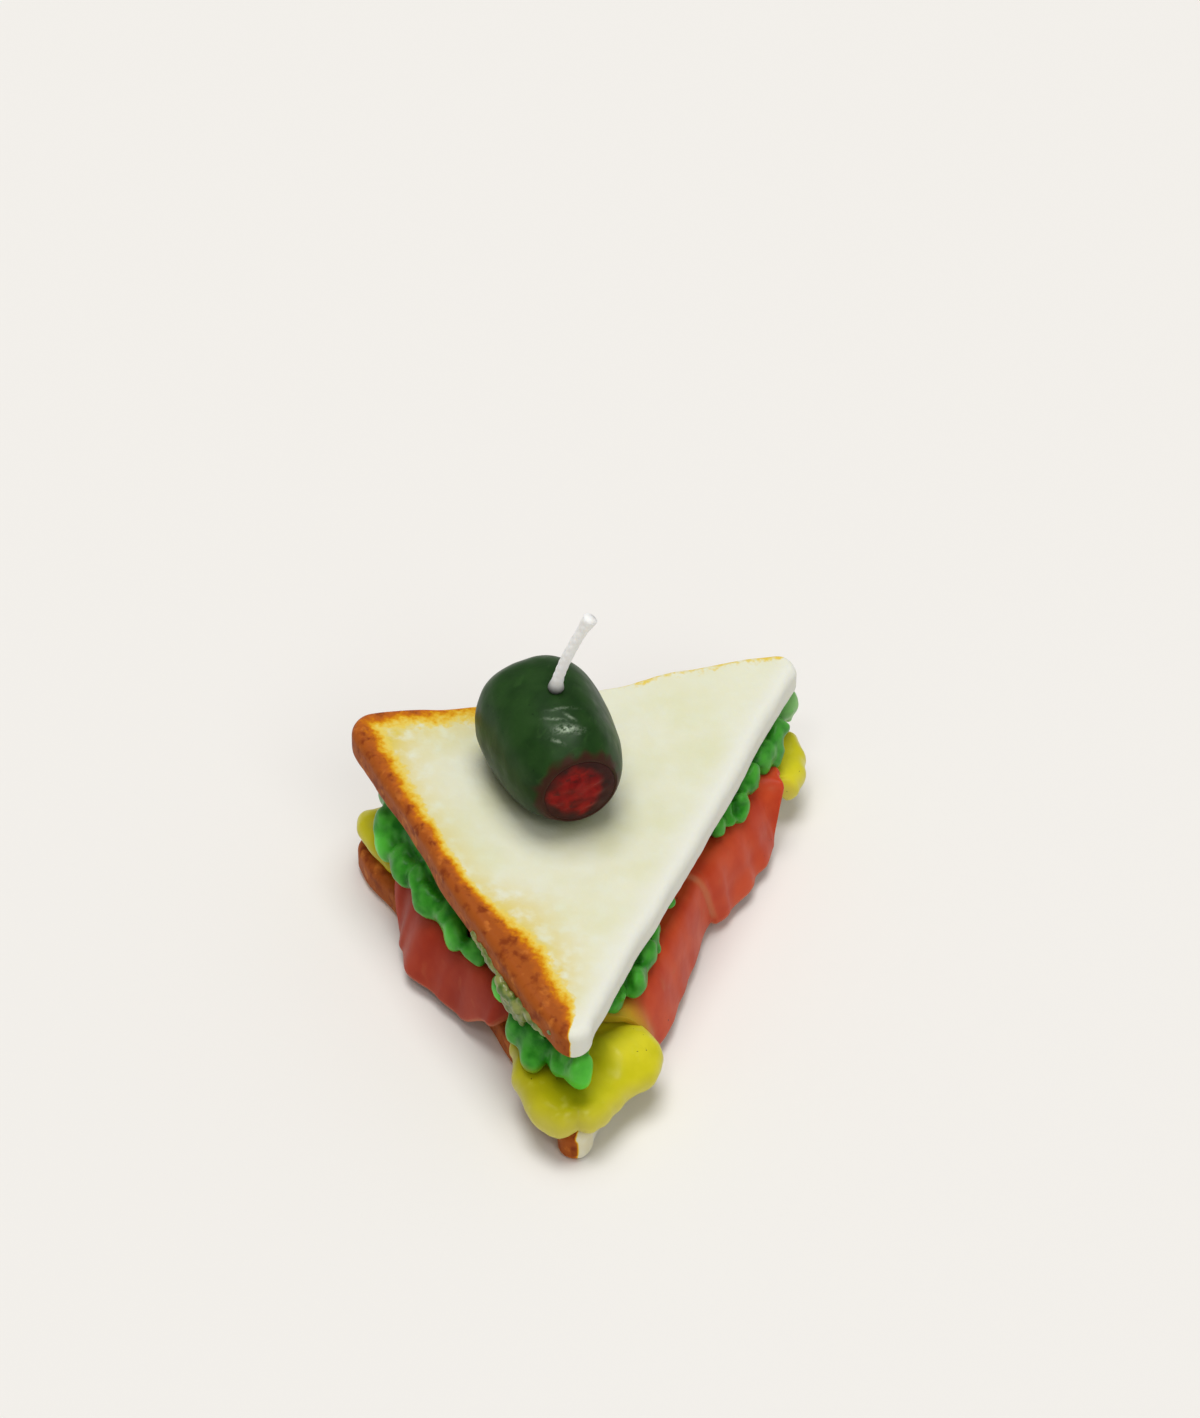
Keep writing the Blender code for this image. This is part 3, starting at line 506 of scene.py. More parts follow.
reach = winding(place, [
    (AC + 2, 0.3), (AC + 8, 0.2), (AC + 14, -0.6), (AC + 22, -3.4), (AC + 67, -3.6), (AC + 75, 2.2),
    (AC + 83, 5.6), (AC + 92, 6.6), (AC + 97.0, 4.8), (AC + 99.8, 2.0), (CB + 2.5, 3.4), (CB + 6, 4.2),
    (CB + 11, 5.2), (CB + 19, 8.4), (CB + 24, 8.0), (CB + 34.5, -3.6), (CB + 105, -3.4),
    (CB + 110.5, 5.8), (CB + 114, 6.0), (CB + 119, 4.2), (CB + 124.5, 0.8), (CB + 128.6, -1.4),
    (BA + 10, -0.5), (BA + 22, -3.4), (BA + 74, -3.4), (BA + 88, 3.4), (BA + 96, 2.0)])
out = np.clip((reach + 3) / 8, 0, 1)
near_a = np.exp(-((place - AC - 3) / 8) ** 2) + np.exp(-((place - PERIMETER - 3) / 8) ** 2)
rows = draped(
    radii=(3.6, 2.2, 2.6), heart_radii=(14, 14, 14), reach=reach,
    bend_from=np.minimum(reach - 7, -6.4), rim_height=10.1 - 1.4 * out + 1.4 * near_a,
    rim_half=2.35 + 1.1 * out, bottom=level(SLICE_THICKNESS + GAP), top=cheese_top, held_to=3.2, ease=3)
rows = swell(rows, spot(AC + 100, 1.5, 10.5), 3.6, 1.5)
rows = swell(rows, spot(AC + 96, 5.4, 5.6), 2.4, 0.7)
rows = swell(rows, spot(CB + 21, 7.0, 9.0), 5.0, 0.4)
rows = crease(rows, spot(CB + 25, 6.5, 8.8), spot(CB + 14, 5.0, 5.2), 1.4, -0.4)
rows += outward(rows) * (0.14 * unevenness(rows, 10, 2) + 0.04 * unevenness(rows, 3, 3))[..., None]
LOWEST_DROP = 3.4
rows[..., 2] = np.maximum(rows[..., 2], LOWEST_DROP)

# The cut side, most of the side BA and the corner A are painted lighter, a painted light.
light = step(CB - 3, CB + 8, place) * step(PERIMETER, BA + 60, place)
light = np.maximum(light, np.minimum(near_a, 0.8))
# The rim is painted paler, a painted glow where the wax is thin.
thin = near_rim(rows, 1.5) * step(-1.0, 3.0, reach)

wax = Recipe("cheese wax", 0.30, depth=3.0, glow=(1.0, 0.9, 0.2), shine=0.15)
cloud = wax.between(wax.grain(9, 3), 0.3, 0.7)
lit = wax.blend(cloud, paint(200, 192, 22), paint(218, 208, 42))
pale = wax.between(wax.grain(4, 3, shift=5.0), 0.60, 0.80)
specks = wax.between(wax.grain(0.9, 1, shift=9.0), 0.78, 0.83)
colour = wax.over(
    wax.blend(cloud, paint(168, 160, 12), paint(186, 178, 16)), (wax.painted("light"), 1.0, lit),
    (wax.painted("thin"), 0.6, paint(226, 214, 110)), (pale, 0.4, paint(214, 208, 96)),
    (specks, 1.0, paint(96, 84, 20)))
cheese = closed_skin("cheese_slice", rows, {"light": light[None], "thin": thin},
                     wax.finish(colour, [(wax.grain(2.2, 3), 0.06)]))
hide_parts("cheese")


# ---------------------------------------------------------------- ham
# Red-pink wax poured thin and folded over the cheese while soft. It is rounded off before the
# corners, hangs down over the sides with a wavy, half clear rim, and one sheet of it laps over
# the next on the cut side. The rim and the lap's edge are painted paler, a painted glow and
# highlight, and towards the cut side the ham is painted lighter, a painted light.

HAM_THICKNESS = 3.5
LAP = CB + 70.0
ham_low = CHEESE_TOP + GAP
reach = winding(place, [
    (AC, -1.5), (AC + 15, -2.2), (AC + 26, 2.2), (AC + 32, 4.8), (AC + 39, 7.0), (AC + 48, 5.0),
    (AC + 55, 3.6), (AC + 65, 2.2), (AC + 71, -5.0), (CB, -6.0), (CB + 22, -5.0), (CB + 31, 3.8),
    (CB + 39, 4.2), (CB + 47, 3.4), (CB + 56, 2.3), (CB + 70, 0.8), (CB + 75, 2.6), (CB + 84, 5.3),
    (CB + 87.3, 4.7), (CB + 91.5, 5.7), (CB + 97, 5.2), (CB + 99, 4.7), (CB + 103, 4.7),
    (CB + 107, 2.4), (CB + 111, -4.0), (BA, -5.0), (BA + 22, -3.0), (BA + 34, 5.6), (BA + 46, 3.4),
    (BA + 60, 5.8), (BA + 72, 1.0), (BA + 80, -3.0)])
hang = winding(place, [
    (AC + 20, 0), (AC + 29, 1), (AC + 55, 1), (AC + 65, 0.5), (AC + 70, 0), (CB + 26, 0),
    (CB + 32.5, 1), (CB + 97, 1), (CB + 104, 0), (BA + 25, 0), (BA + 33, 1), (BA + 63, 1),
    (BA + 72, 0.2), (BA + 76, 0)])
ham_flat = ham_low + HAM_THICKNESS / 2
rows = draped(
    radii=(20, 12, 9), heart_radii=(20, 12, 9), reach=reach, bend_from=np.minimum(reach - 4, -2.6),
    rim_height=ham_flat - (ham_flat - 3.6) * hang, rim_half=np.full(STATIONS, 1.15),
    bottom=level(ham_low), top=level(ham_low + HAM_THICKNESS), held_to=-2.2, ease=2)
rows = crease(rows, spot(AC + 24, -1.0, 16.0), spot(AC + 27, 3.0, 5.0), 1.6, 0.5)
leaning = place + 0.25 * (rows[..., 2] - 9)
lap = step(LAP - 0.6, LAP + 0.6, leaning) * step(LAP + 14, LAP + 3, place)
rows += outward(rows) * (0.9 * lap * step(1.0, 3.0, rows[..., 2]))[..., None]
rows = crease(rows, spot(CB + 76, 3.5, 8.0), spot(CB + 96, 4.5, 8.0), 1.4, -0.25)
rows += outward(rows) * (0.10 * unevenness(rows, 15, 4) + 0.03 * unevenness(rows, 4, 5))[..., None]
leaning = place + 0.25 * (rows[..., 2] - 9)
# The lap's edge and the hanging rim are painted paler: a painted highlight and glow.
lap_edge_highlight = np.exp(-((leaning - LAP) / 0.6) ** 2)
rim = np.maximum(near_rim(rows) * step(0.0, 0.6, hang), 0.9 * lap_edge_highlight * step(3, 6, rows[..., 2]))
blur = step(CB + 34, CB + 25, place) * step(CB + 8, CB + 14, place)
# From near C round the cut side and most of the side BA the ham is painted lighter, a painted light.
light = step(CB - 10, CB + 20, place) * step(PERIMETER, BA + 60, place)

wax = Recipe("ham wax", 0.38, depth=2.5, glow=(1.0, 0.4, 0.25), shine=0.12)
cloud = wax.between(wax.grain(8, 3), 0.3, 0.7)
lit = wax.blend(cloud, paint(188, 60, 30), paint(206, 80, 42))
fat = wax.between(wax.grain(4.5, 3, shift=5.0, warp=0.6), 0.60, 0.80)
specks = wax.between(wax.grain(0.8, 1, shift=9.0), 0.78, 0.83)
colour = wax.over(
    wax.blend(cloud, paint(156, 46, 24), paint(172, 60, 33)), (wax.painted("light"), 1.0, lit),
    (wax.painted("blur"), 0.95, paint(194, 170, 44)), (fat, 0.4, paint(192, 104, 64)),
    (wax.painted("rim"), 0.8, paint(204, 128, 88)), (specks, 1.0, paint(96, 40, 24)))
ham = closed_skin("ham_sheet", rows, {"light": light[None], "rim": rim, "blur": blur[None]},
                  wax.finish(colour, [(wax.grain(2.2, 3), 0.06)]))
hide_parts("ham")


# ---------------------------------------------------------------- lettuce
# Chopped leaves in bright green wax: warm crumbs and lumps pressed together into one mass
# between ham and upper slice. It pushes out along the edge, and at the front it has melted
# smooth and hangs down in a tongue.

SLICE_SHIFT = np.array([1.1, 0.4])
UNDERSIDE_A, UNDERSIDE_B, UNDERSIDE_C, SAG = 31.4, 22.7, 23.6, 1.8


def upper_underside(x, y):
    """Underside of the upper slice: a plane through its corner heights that sags along BA."""
    a, b, c = corner_shares(x - SLICE_SHIFT[0], y - SLICE_SHIFT[1])
    sag = 4 * SAG * np.clip(a, 0, 1) * np.clip(b, 0, 1)
    return UNDERSIDE_A * a + UNDERSIDE_B * b + UNDERSIDE_C * c - sag


def lettuce_bed(x, y):
    """What the lettuce lies on: the ham, and the cheese in the corners that the ham leaves free."""
    a, b, c = corner_shares(x, y)
    free = step(0.86, 0.93, a) + step(0.87, 0.93, b) + step(0.81, 0.87, c)
    cheese = cheese_top(x, y) + GAP
    return np.maximum((ham_low + HAM_THICKNESS + GAP) * (1 - free) + cheese * free, cheese)


def lump_skins(lumps, detail, seed):
    """Points and faces of balls stretched to the lumps' half sizes, turned along the edge.

    Each lump is (place, out, height, half length, half thickness, half height). Its points then
    move in or out by a tenth of the unevenness there.
    """
    work = bmesh.new()
    bmesh.ops.create_icosphere(work, subdivisions=detail, radius=1.0)
    ball = np.array([v.co[:] for v in work.verts])
    faces = np.array([[v.index for v in f.verts] for f in work.faces])
    work.free()
    draw = np.random.default_rng(seed)
    lumps = np.array(lumps, float)
    point, normal = rounded_triangle(lumps[:, 0] % PERIMETER, SHARP)
    centre = np.column_stack([point + normal * lumps[:, 1:2], lumps[:, 2]])
    turn = np.arctan2(normal[:, 1], normal[:, 0]) + np.pi / 2 + draw.uniform(-0.3, 0.3, len(lumps))
    points = ball * lumps[:, None, 3:6]
    cosine, sine = np.cos(turn)[:, None], np.sin(turn)[:, None]
    points = np.stack([cosine * points[..., 0] - sine * points[..., 1],
                       sine * points[..., 0] + cosine * points[..., 1], points[..., 2]], -1)
    points = points + centre[:, None]
    rough = unevenness(points, 4.0, seed)[..., None]
    points = centre[:, None] + (points - centre[:, None]) * (1 + 0.1 * rough)
    count = np.arange(len(lumps))[:, None, None] * len(ball)
    return points.reshape(-1, 3), (faces + count).reshape(-1, 3)


def melted(name, points, faces, voxel, rounds):
    """One skin round all the shells, on a voxel grid, with its steps smoothed away."""
    mesh = bpy.data.meshes.new(name + " lumps")
    mesh.from_pydata(points * MM, [], faces)
    thing = bpy.data.objects.new(name + " lumps", mesh)
    bpy.context.collection.objects.link(thing)
    remesh = thing.modifiers.new("melt", "REMESH")
    remesh.mode, remesh.voxel_size = "VOXEL", voxel * MM
    smooth = thing.modifiers.new("smooth", "SMOOTH")
    smooth.factor, smooth.iterations = 0.5, rounds
    bpy.context.view_layer.update()
    graph = bpy.context.evaluated_depsgraph_get()
    melt = bpy.data.meshes.new_from_object(thing.evaluated_get(graph))
    bpy.data.objects.remove(thing, do_unlink=True)
    melt.name = name
    return melt


def mesh_points(mesh):
    """The mesh's points in millimetres and its normals, as arrays."""
    points, normals = np.empty(len(mesh.vertices) * 3), np.empty(len(mesh.vertices) * 3)
    mesh.vertices.foreach_get("co", points)
    mesh.vertices.foreach_get("normal", normals)
    return points.reshape(-1, 3) / MM, normals.reshape(-1, 3)


def averaged(mesh, points, rounds):
    """The points after rounds of going half way to the mean of their neighbours."""
    pairs = np.empty(len(mesh.edges) * 2, dtype=np.int32)
    mesh.edges.foreach_get("vertices", pairs)
    first, second = pairs.reshape(-1, 2).T
    gather = lambda value: (np.bincount(first, value[second], len(points))
                            + np.bincount(second, value[first], len(points)))
    count = gather(np.ones(len(points)))[:, None]
    for turn in range(rounds):
        points = points / 2 + np.stack([gather(points[:, i]) for i in range(3)], 1) / count / 2
    return points


reach = winding(place, [
    (AC, -3.4), (AC + 18, -1.6), (AC + 44, -1.8), (AC + 60, -3.6), (AC + 84, -1.6), (CB, -3.0),
    (CB + 18, -5.2), (CB + 34, -2.6), (CB + 46, -3.2), (CB + 58, -4.0), (CB + 72, -4.0),
    (CB + 88, -2.2), (CB + 112, -2.2), (BA, -3.0), (BA + 20, -2.0), (BA + 50, -2.2), (BA + 75, -2.0)])
outline, normal = rounded_triangle(place, (6, 5, 5))
inner = outline + normal * (reach - 3)[:, None]
bed, roof = lettuce_bed(inner[:, 0], inner[:, 1]), upper_underside(inner[:, 0], inner[:, 1])
ceiling = lambda x, y: upper_underside(x, y) - 0.2
rows = draped(
    radii=(6, 5, 5), heart_radii=(15, 15, 15), reach=reach, bend_from=reach - 7.5,
    rim_height=(bed + roof) / 2, rim_half=(roof - bed) * 0.4, bottom=lettuce_bed, top=ceiling,
    held_to=0.0, ease=2)
big_lumps = [
    (AC + 14, -1.2, 20.4, 3.4, 2.6, 4), (AC + 17.5, -2.2, 21.0, 4.0, 2.6, 3.6),
    (AC + 18, 0.2, 18.2, 3.6, 2.6, 3.6), (AC + 25, 0.2, 18.6, 4.6, 2.8, 3.8),
    (AC + 31, -0.2, 19.4, 3.6, 2.6, 3.6), (AC + 37, 0.4, 18.4, 4.4, 2.8, 3.6),
    (AC + 43, -0.2, 19.0, 3.2, 2.4, 3.2), (AC + 48, 0.2, 18.2, 4.2, 2.6, 3.4),
    (AC + 54.5, -1.0, 18.4, 3.2, 2.4, 3.0), (AC + 67, -0.6, 18.6, 3.0, 2.4, 3.0),
    (AC + 74, -1.0, 19.2, 3.4, 2.6, 3.6), (AC + 77.5, 0.8, 17.0, 4.0, 2.8, 3.8),
    (AC + 81, -0.6, 18.2, 5.5, 3, 3.8), (AC + 83, 1.6, 14.4, 4.4, 2.8, 3.2),
    (AC + 89, -1.2, 17.8, 4.6, 2.9, 2.8), (CB + 5.2, -1.9, 19.0, 3.7, 3.0, 4.6),
    (CB + 8.5, -4.4, 20.0, 4.0, 3, 4.4), (CB + 27, -3.2, 19.2, 3.6, 2, 2.6),
    (CB + 33.5, -1.4, 18.6, 4.2, 2.4, 3.4), (CB + 40, -2.0, 19.4, 4.6, 2.4, 2.8),
    (CB + 47, -3.0, 20, 3.6, 2, 2.4), (CB + 55.5, -2.6, 20.6, 1.8, 1.4, 1.5),
    (CB + 82, -2.2, 19.2, 2.4, 1.8, 2.4), (CB + 86.5, -2.4, 19.8, 2.6, 1.8, 2.4),
    (CB + 90.5, -0.9, 17.8, 3.2, 2.2, 2.6), (CB + 97, -1.4, 19.4, 5.0, 2.6, 3.0),
    (CB + 106, -1.4, 18.8, 5.4, 2.6, 3.4), (CB + 110.5, 0.2, 16.4, 3.2, 2.2, 2.6),
    (CB + 114, -1.4, 19, 4.4, 2.4, 3.4), (CB + 121, -1.8, 19.6, 4, 2, 2.8),
    (BA + 12, -1.2, 19, 5.6, 2.6, 3.4), (BA + 28, -1.0, 19.6, 6.2, 2.6, 3.2),
    (BA + 45, -1.0, 19.8, 6, 2.6, 3.4), (BA + 61, -0.8, 20.6, 6.2, 2.8, 3.8),
    (BA + 78, -1.4, 21.2, 5.8, 2.8, 4)]
bare_stretches = [(0, 14), (AC + 57, AC + 63), (CB - 12, CB + 26), (BA - 4, BA + 4),
                  (PERIMETER - 16, PERIMETER)]
draw = np.random.default_rng(21)
crumb_place = draw.uniform(0, PERIMETER, 110)
for first, last in bare_stretches:
    crumb_place = crumb_place[(crumb_place < first) | (crumb_place > last)]
many = len(crumb_place)
crumb_out = winding(crumb_place, list(zip(place, reach))) + draw.uniform(0.6, 2.6, many)
crumb_size = draw.uniform(0.7, 1.5, many)
small_lumps = np.column_stack([
    crumb_place, crumb_out, 19.2 + draw.uniform(-2.2, 2.4, many),
    crumb_size * draw.uniform(1.0, 1.5, many), crumb_size, crumb_size * draw.uniform(0.8, 1.3, many)])
core, core_faces = skin(rows)
points, faces = lump_skins(np.concatenate([np.array(big_lumps), small_lumps]), detail=3, seed=11)
mesh = melted("lettuce", np.concatenate([core, points]), core_faces + (faces + len(core)).tolist(),
              voxel=0.5, rounds=18)
points, normals = mesh_points(mesh)
soft = np.zeros(len(points))
for centre, size in ((spot(AC + 84, 1.5, 15.5), 8.0), (spot(CB + 6, 0.0, 16.0), 7.5)):
    soft = np.maximum(soft, step(size, size - 3, np.linalg.norm(points - centre, axis=1)))
points += (averaged(mesh, points, 50) - points) * soft[:, None]
points += normals * (0.16 * unevenness(points, 5.0, 6) + 0.04 * unevenness(points, 2.0, 7))[:, None]
points[:, 2] = np.minimum(points[:, 2], upper_underside(points[:, 0], points[:, 1]) - 0.1)
mesh.vertices.foreach_set("co", (points * MM).astype(np.float32).ravel())
mesh.update()
# The bulging parts are painted paler, a painted highlight, and the hollows darker, a painted shade.
proud = ((points - averaged(mesh, points, 14)) * normals).sum(1)
# The tongue at the front and a few lumps are painted brighter green, a painted glow where the wax is
# thin.
painted_glow = np.zeros(len(points))
for centre, size in ((spot(CB + 6.0, 0.4, 17.0), 5.5), (spot(AC + 67, 0.5, 18.0), 2.6),
                     (spot(AC + 48, 1.5, 17.5), 2.6), (spot(AC + 17, 2.0, 18.5), 2.8)):
    painted_glow = np.maximum(painted_glow, bell(points, centre, size))
clear = bell(points, spot(CB + 124, 0.0, 20.0), 6.325)
film = step(15.6, 13.2, points[:, 2]) * bell(points, spot(AC + 84, 2.0, 13.0), 9.487)
for key, value in (("painted_glow", painted_glow), ("film", film), ("clear", clear),
                   ("proud", step(0.02, 0.22, proud)),
                   ("hollow_shade", step(-0.02, -0.16, proud) * (1 - painted_glow))):
    carry(mesh, key, value)

wax = Recipe("lettuce wax", 0.30, depth=2.5, glow=(0.35, 1.0, 0.2), shine=0.15)
cloud = wax.between(wax.grain(3.2, 3), 0.3, 0.7)
colour = wax.over(
    wax.blend(cloud, paint(24, 116, 14), paint(66, 158, 42)),
    (wax.painted("hollow_shade"), 0.45, paint(24, 86, 14)),
    (wax.painted("proud"), 0.35, paint(100, 186, 76)),
    (wax.painted("painted_glow"), 0.85, paint(104, 232, 70)),
    (wax.painted("film"), 0.75, paint(158, 172, 30)),
    (wax.painted("clear"), 0.8, paint(150, 200, 128)))
lettuce = piece("lettuce_mass", mesh, wax.finish(colour, [(wax.grain(1.0, 3), 0.06)]))
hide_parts("lettuce")


# ---------------------------------------------------------------- pale crumbs
# Crumbs and bubbles of half clear, yellow-green wax that squeezed out between the lettuce and the
# crust near the corner C and set there, along the lower edge of the crust and on it.

CRUST_OUT = [(61, 2.0), (66, 2.2), (84, 2.1), (90, 1.2), (95, 0.4)]
draw = np.random.default_rng(5)
crumbs = []
for first, last, low, high, size, many, proud in (
        (60, 66.5, 0.4, 2.4, 0.6, 26, 0.0), (65, 74, -0.4, 1.8, 0.8, 50, 0.3),
        (72.5, 80.5, -3.8, 1.2, 1.15, 64, 1.7), (80, 88, -0.6, 2.0, 0.75, 44, 0.4),
        (89.5, 92.5, 1.8, 4.2, 0.5, 9, 0.1)):
    run = draw.uniform(first, last, many)
    rise = draw.uniform(low, high, many)
    inset = 2 - np.sqrt(4 - (2 - np.clip(rise, 0, 2)) ** 2)
    out = np.interp(run, *np.array(CRUST_OUT).T) - inset + 0.1 + proud * step(2.0, 0.0, rise)
    point, normal = rounded_triangle(run, SHARP)
    point = point + normal * out[:, None]
    width = size * draw.uniform(0.7, 1.3, many)
    crumbs.append(np.column_stack([
        run, out, upper_underside(point[:, 0], point[:, 1]) + rise,
        width * draw.uniform(1.0, 1.5, many), width * 0.8, width * draw.uniform(0.8, 1.2, many)]))
points, faces = lump_skins(np.concatenate(crumbs), detail=2, seed=12)
mesh = melted("crumbs", points, faces.tolist(), voxel=0.22, rounds=3)

wax = Recipe("pale crumb wax", 0.28, depth=2.0, glow=(0.8, 1.0, 0.4), shine=0.35)
wax.shader.inputs["Transmission Weight"].default_value = 0.3
cloud = wax.between(wax.grain(2.0, 3), 0.35, 0.65)
colour = wax.blend(cloud, paint(96, 128, 44), paint(164, 170, 96))
crumb_mass = piece("pale_crumbs", mesh, wax.finish(colour, [(wax.grain(0.7, 3), 0.06)]))


# ---------------------------------------------------------------- upper slice
# The second half slice of the same cream wax, pressed down on the fillings, so that it slopes
# to the corner C, with brown painted over its crust sides and a shallow dent for the olive.

OLIVE_PLACE = np.array([4.5, -3.8])
OLIVE_HEADING = math.radians(222.8)
DENT, DENT_SPREAD = 1.4, 9.0
FOOT_LENGTH, FOOT_WIDTH = 16.0, 11.0


def upper_top(x, y):
    """Top of the upper slice: the underside plus the thickness less a bell-shaped dent."""
    away = (x - OLIVE_PLACE[0]) ** 2 + (y - OLIVE_PLACE[1]) ** 2
    return upper_underside(x, y) + SLICE_THICKNESS - DENT * np.exp(-away / DENT_SPREAD ** 2)


plan, normal = rounded_triangle(place, radii=(4.2, 3.2, 3.2))
plan = plan + SLICE_SHIFT + normal * winding(place, [
    (AC + 1, 0.9), (AC + 7, 1.2), (AC + 20, 1.7), (AC + 36, 1.6), (AC + 50, 2.9), (AC + 84, 3.0),
    (AC + 96, 2.2), (CB + 10, -0.3), (CB + 32, -0.5), (CB + 46, 0.0), (CB + 70, 0.2), (CB + 90, 0.2),
    (CB + 103, -0.3), (CB + 114, 0.0), (CB + 126, 0.5), (BA + 5, 1.3), (BA + 14, 2.3), (BA + 28, 1.9),
    (BA + 46, 0.3), (BA + 73, 0.2), (BA + 92, 1.6)])[:, None]
rows = slab(plan, OLIVE_PLACE, upper_top, upper_underside, slice_edge(place),
            top_shares=1 - np.linspace(0.93, 0, 44) ** 1.15, bottom_shares=np.linspace(0.3, 1, 6))
x, y = rows[..., 0], rows[..., 1]
paints = browned(
    rows, upper_top(x, y) - rows[..., 2], 2.7,
    [(0, 2.6, 6.5), (5, 1.9, 5.6), (13, 1.4, 4.4), (21, 0.5, 3.5), (27, 0.3, 3.2), (38, 0.0, 1.9),
     (44, -0.5, 1.5), (49, -0.1, 1.7), (55, -0.1, 1.4), (63, 1.4, 3.4), (69, 2.4, 5.4),
     (74, 3.1, 5.8), (84, 2.0, 5.0), (90, 1.8, 4.4), (94, 1.0, 2.6), (99, -1.2, 0.6)],
    [(0, -5.5, 0.0), (20, -6.0, -0.4), (60, -4.0, 0.5), (70, -0.8, 6.0), (80, 0.0, 5.6),
     (90, 0.6, 4.8), (97, 1.5, 5.0), (100, 2.0, 6.0)], SLICE_SHIFT)
heading = np.array([math.cos(OLIVE_HEADING), math.sin(OLIVE_HEADING)])
ahead = (x - OLIVE_PLACE[0]) * heading[0] + (y - OLIVE_PLACE[1]) * heading[1]
aside = (y - OLIVE_PLACE[1]) * heading[0] - (x - OLIVE_PLACE[0]) * heading[1]
from_foot = np.hypot(ahead / FOOT_LENGTH, aside / FOOT_WIDTH) - 0.85
# The ring round the olive's foot is partly a greenish stain and partly painted shadow.
stain_and_shadow = 0.5 * np.exp(-(from_foot / 0.2) ** 2)
rows += outward(rows) * (0.14 * unevenness(rows, 14, 8) + 0.03 * unevenness(rows, 3.5, 9))[..., None]
upper_slice = closed_skin("upper_slice", rows, {**paints, "stain_and_shadow": stain_and_shadow}, bread)
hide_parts("bread_top")


# ---------------------------------------------------------------- olive
# A large green olive rolled from dark green wax by hand, with slight flats and scratches. The
# pale scuffs and scratches on its top are partly painted highlights, and its underside is painted
# darker, a painted shade. It lies in the dent on the upper slice, its stuffed end pointing down to
# the corner C.

OLIVE_RADIUS, OLIVE_FRONT, OLIVE_BACK = 13.15, 21.1, 14.5
fore, aft = OLIVE_PLACE + heading, OLIVE_PLACE - heading
axis = np.append(heading, (upper_underside(*fore) - upper_underside(*aft)) / 2)
axis /= np.linalg.norm(axis)
side = np.cross([0, 0, 1], axis)
side /= np.linalg.norm(side)
up = np.cross(axis, side)
rest = upper_underside(*OLIVE_PLACE) + SLICE_THICKNESS - DENT + 1.5 * GAP
olive_middle = np.append(OLIVE_PLACE, rest) + up * OLIVE_RADIUS


def barrel(angle):
    """Distance along the axis and radius of the olive: an ellipse squared up to a barrel.

    Its powers of cos and sin are 2 / 2.4 towards the front and 2 / 3.2 towards the blunt end.
    """
    power = np.where(np.cos(angle) > 0, 2 / 2.4, 2 / 3.2)
    half = np.where(np.cos(angle) > 0, OLIVE_FRONT, -OLIVE_BACK)
    return half * np.abs(np.cos(angle)) ** power, OLIVE_RADIUS * np.sin(angle) ** power


def round_axis(distance, radius, count):
    """Rows of rings round the olive's axis, counterclockwise seen from its blunt end."""
    turn = -2 * np.pi * np.arange(count) / count
    out = side * np.cos(turn)[:, None] + up * np.sin(turn)[:, None]
    return olive_middle + axis * distance[:, None, None] + out * radius[:, None, None]


MOUTH = 8.0
mouth_angle = math.asin((MOUTH / OLIVE_RADIUS) ** 1.2)
distance, radius = barrel(np.linspace(np.pi - 0.02, mouth_angle, 110))
face = distance[-1]
rows = round_axis(np.concatenate([distance, face + np.array([0.0, -0.3, -1.0, -1.6])]),
                  np.concatenate([radius, np.array([7.6, 7.3, 7.1, 4.0])]), 200)
turn = np.arctan2((rows - olive_middle) @ up, (rows - olive_middle) @ side)
flats = 0.10 * np.cos(5 * turn + 0.6) + 0.07 * np.cos(3 * turn + 2.0)
amount = 0.2 * unevenness(rows, 16, 13) + 0.03 * unevenness(rows, 4, 14) + flats
along = (rows - olive_middle) @ axis
rows += outward(rows) * (amount * step(face + 0.3, face - 1.5, along)
                         * step(1.0, 4.0, (rows - olive_middle) @ up + OLIVE_RADIUS))[..., None]
smear = 0.9 * step(face - 1.9, face - 0.2, along + 0.5 * unevenness(rows, 3.0, 17))
right, above = (rows - olive_middle) @ side, (rows - olive_middle) @ up
# Pale scuffs and scratches on the top, partly real marks and partly painted highlights.
scuffs = np.zeros(rows.shape[:2])
for forward, aside, length, width, turned, strength in (
        (12.0, -0.6, 1.9, 0.8, 0.3, 1.0), (9.6, 1.0, 1.2, 0.35, 0.9, 0.45),
        (13.2, 2.0, 1.0, 0.3, -0.4, 0.45), (9.0, -2.0, 1.8, 0.25, 0.5, 0.45),
        (7.2, 0.4, 2.2, 0.25, 0.2, 0.45), (13.6, -3.2, 1.3, 0.3, 0.8, 0.45)):
    p, q = along - forward, right - aside
    u = p * math.sin(turned) + q * math.cos(turned)
    v = p * math.cos(turned) - q * math.sin(turned)
    scuffs = np.maximum(scuffs, strength * np.exp(-(u / length) ** 2 - (v / width) ** 2))
scuffs = scuffs * step(0.0, 4.0, above)
# The underside is painted darker, a painted shade.
low = step(2, -9, above)

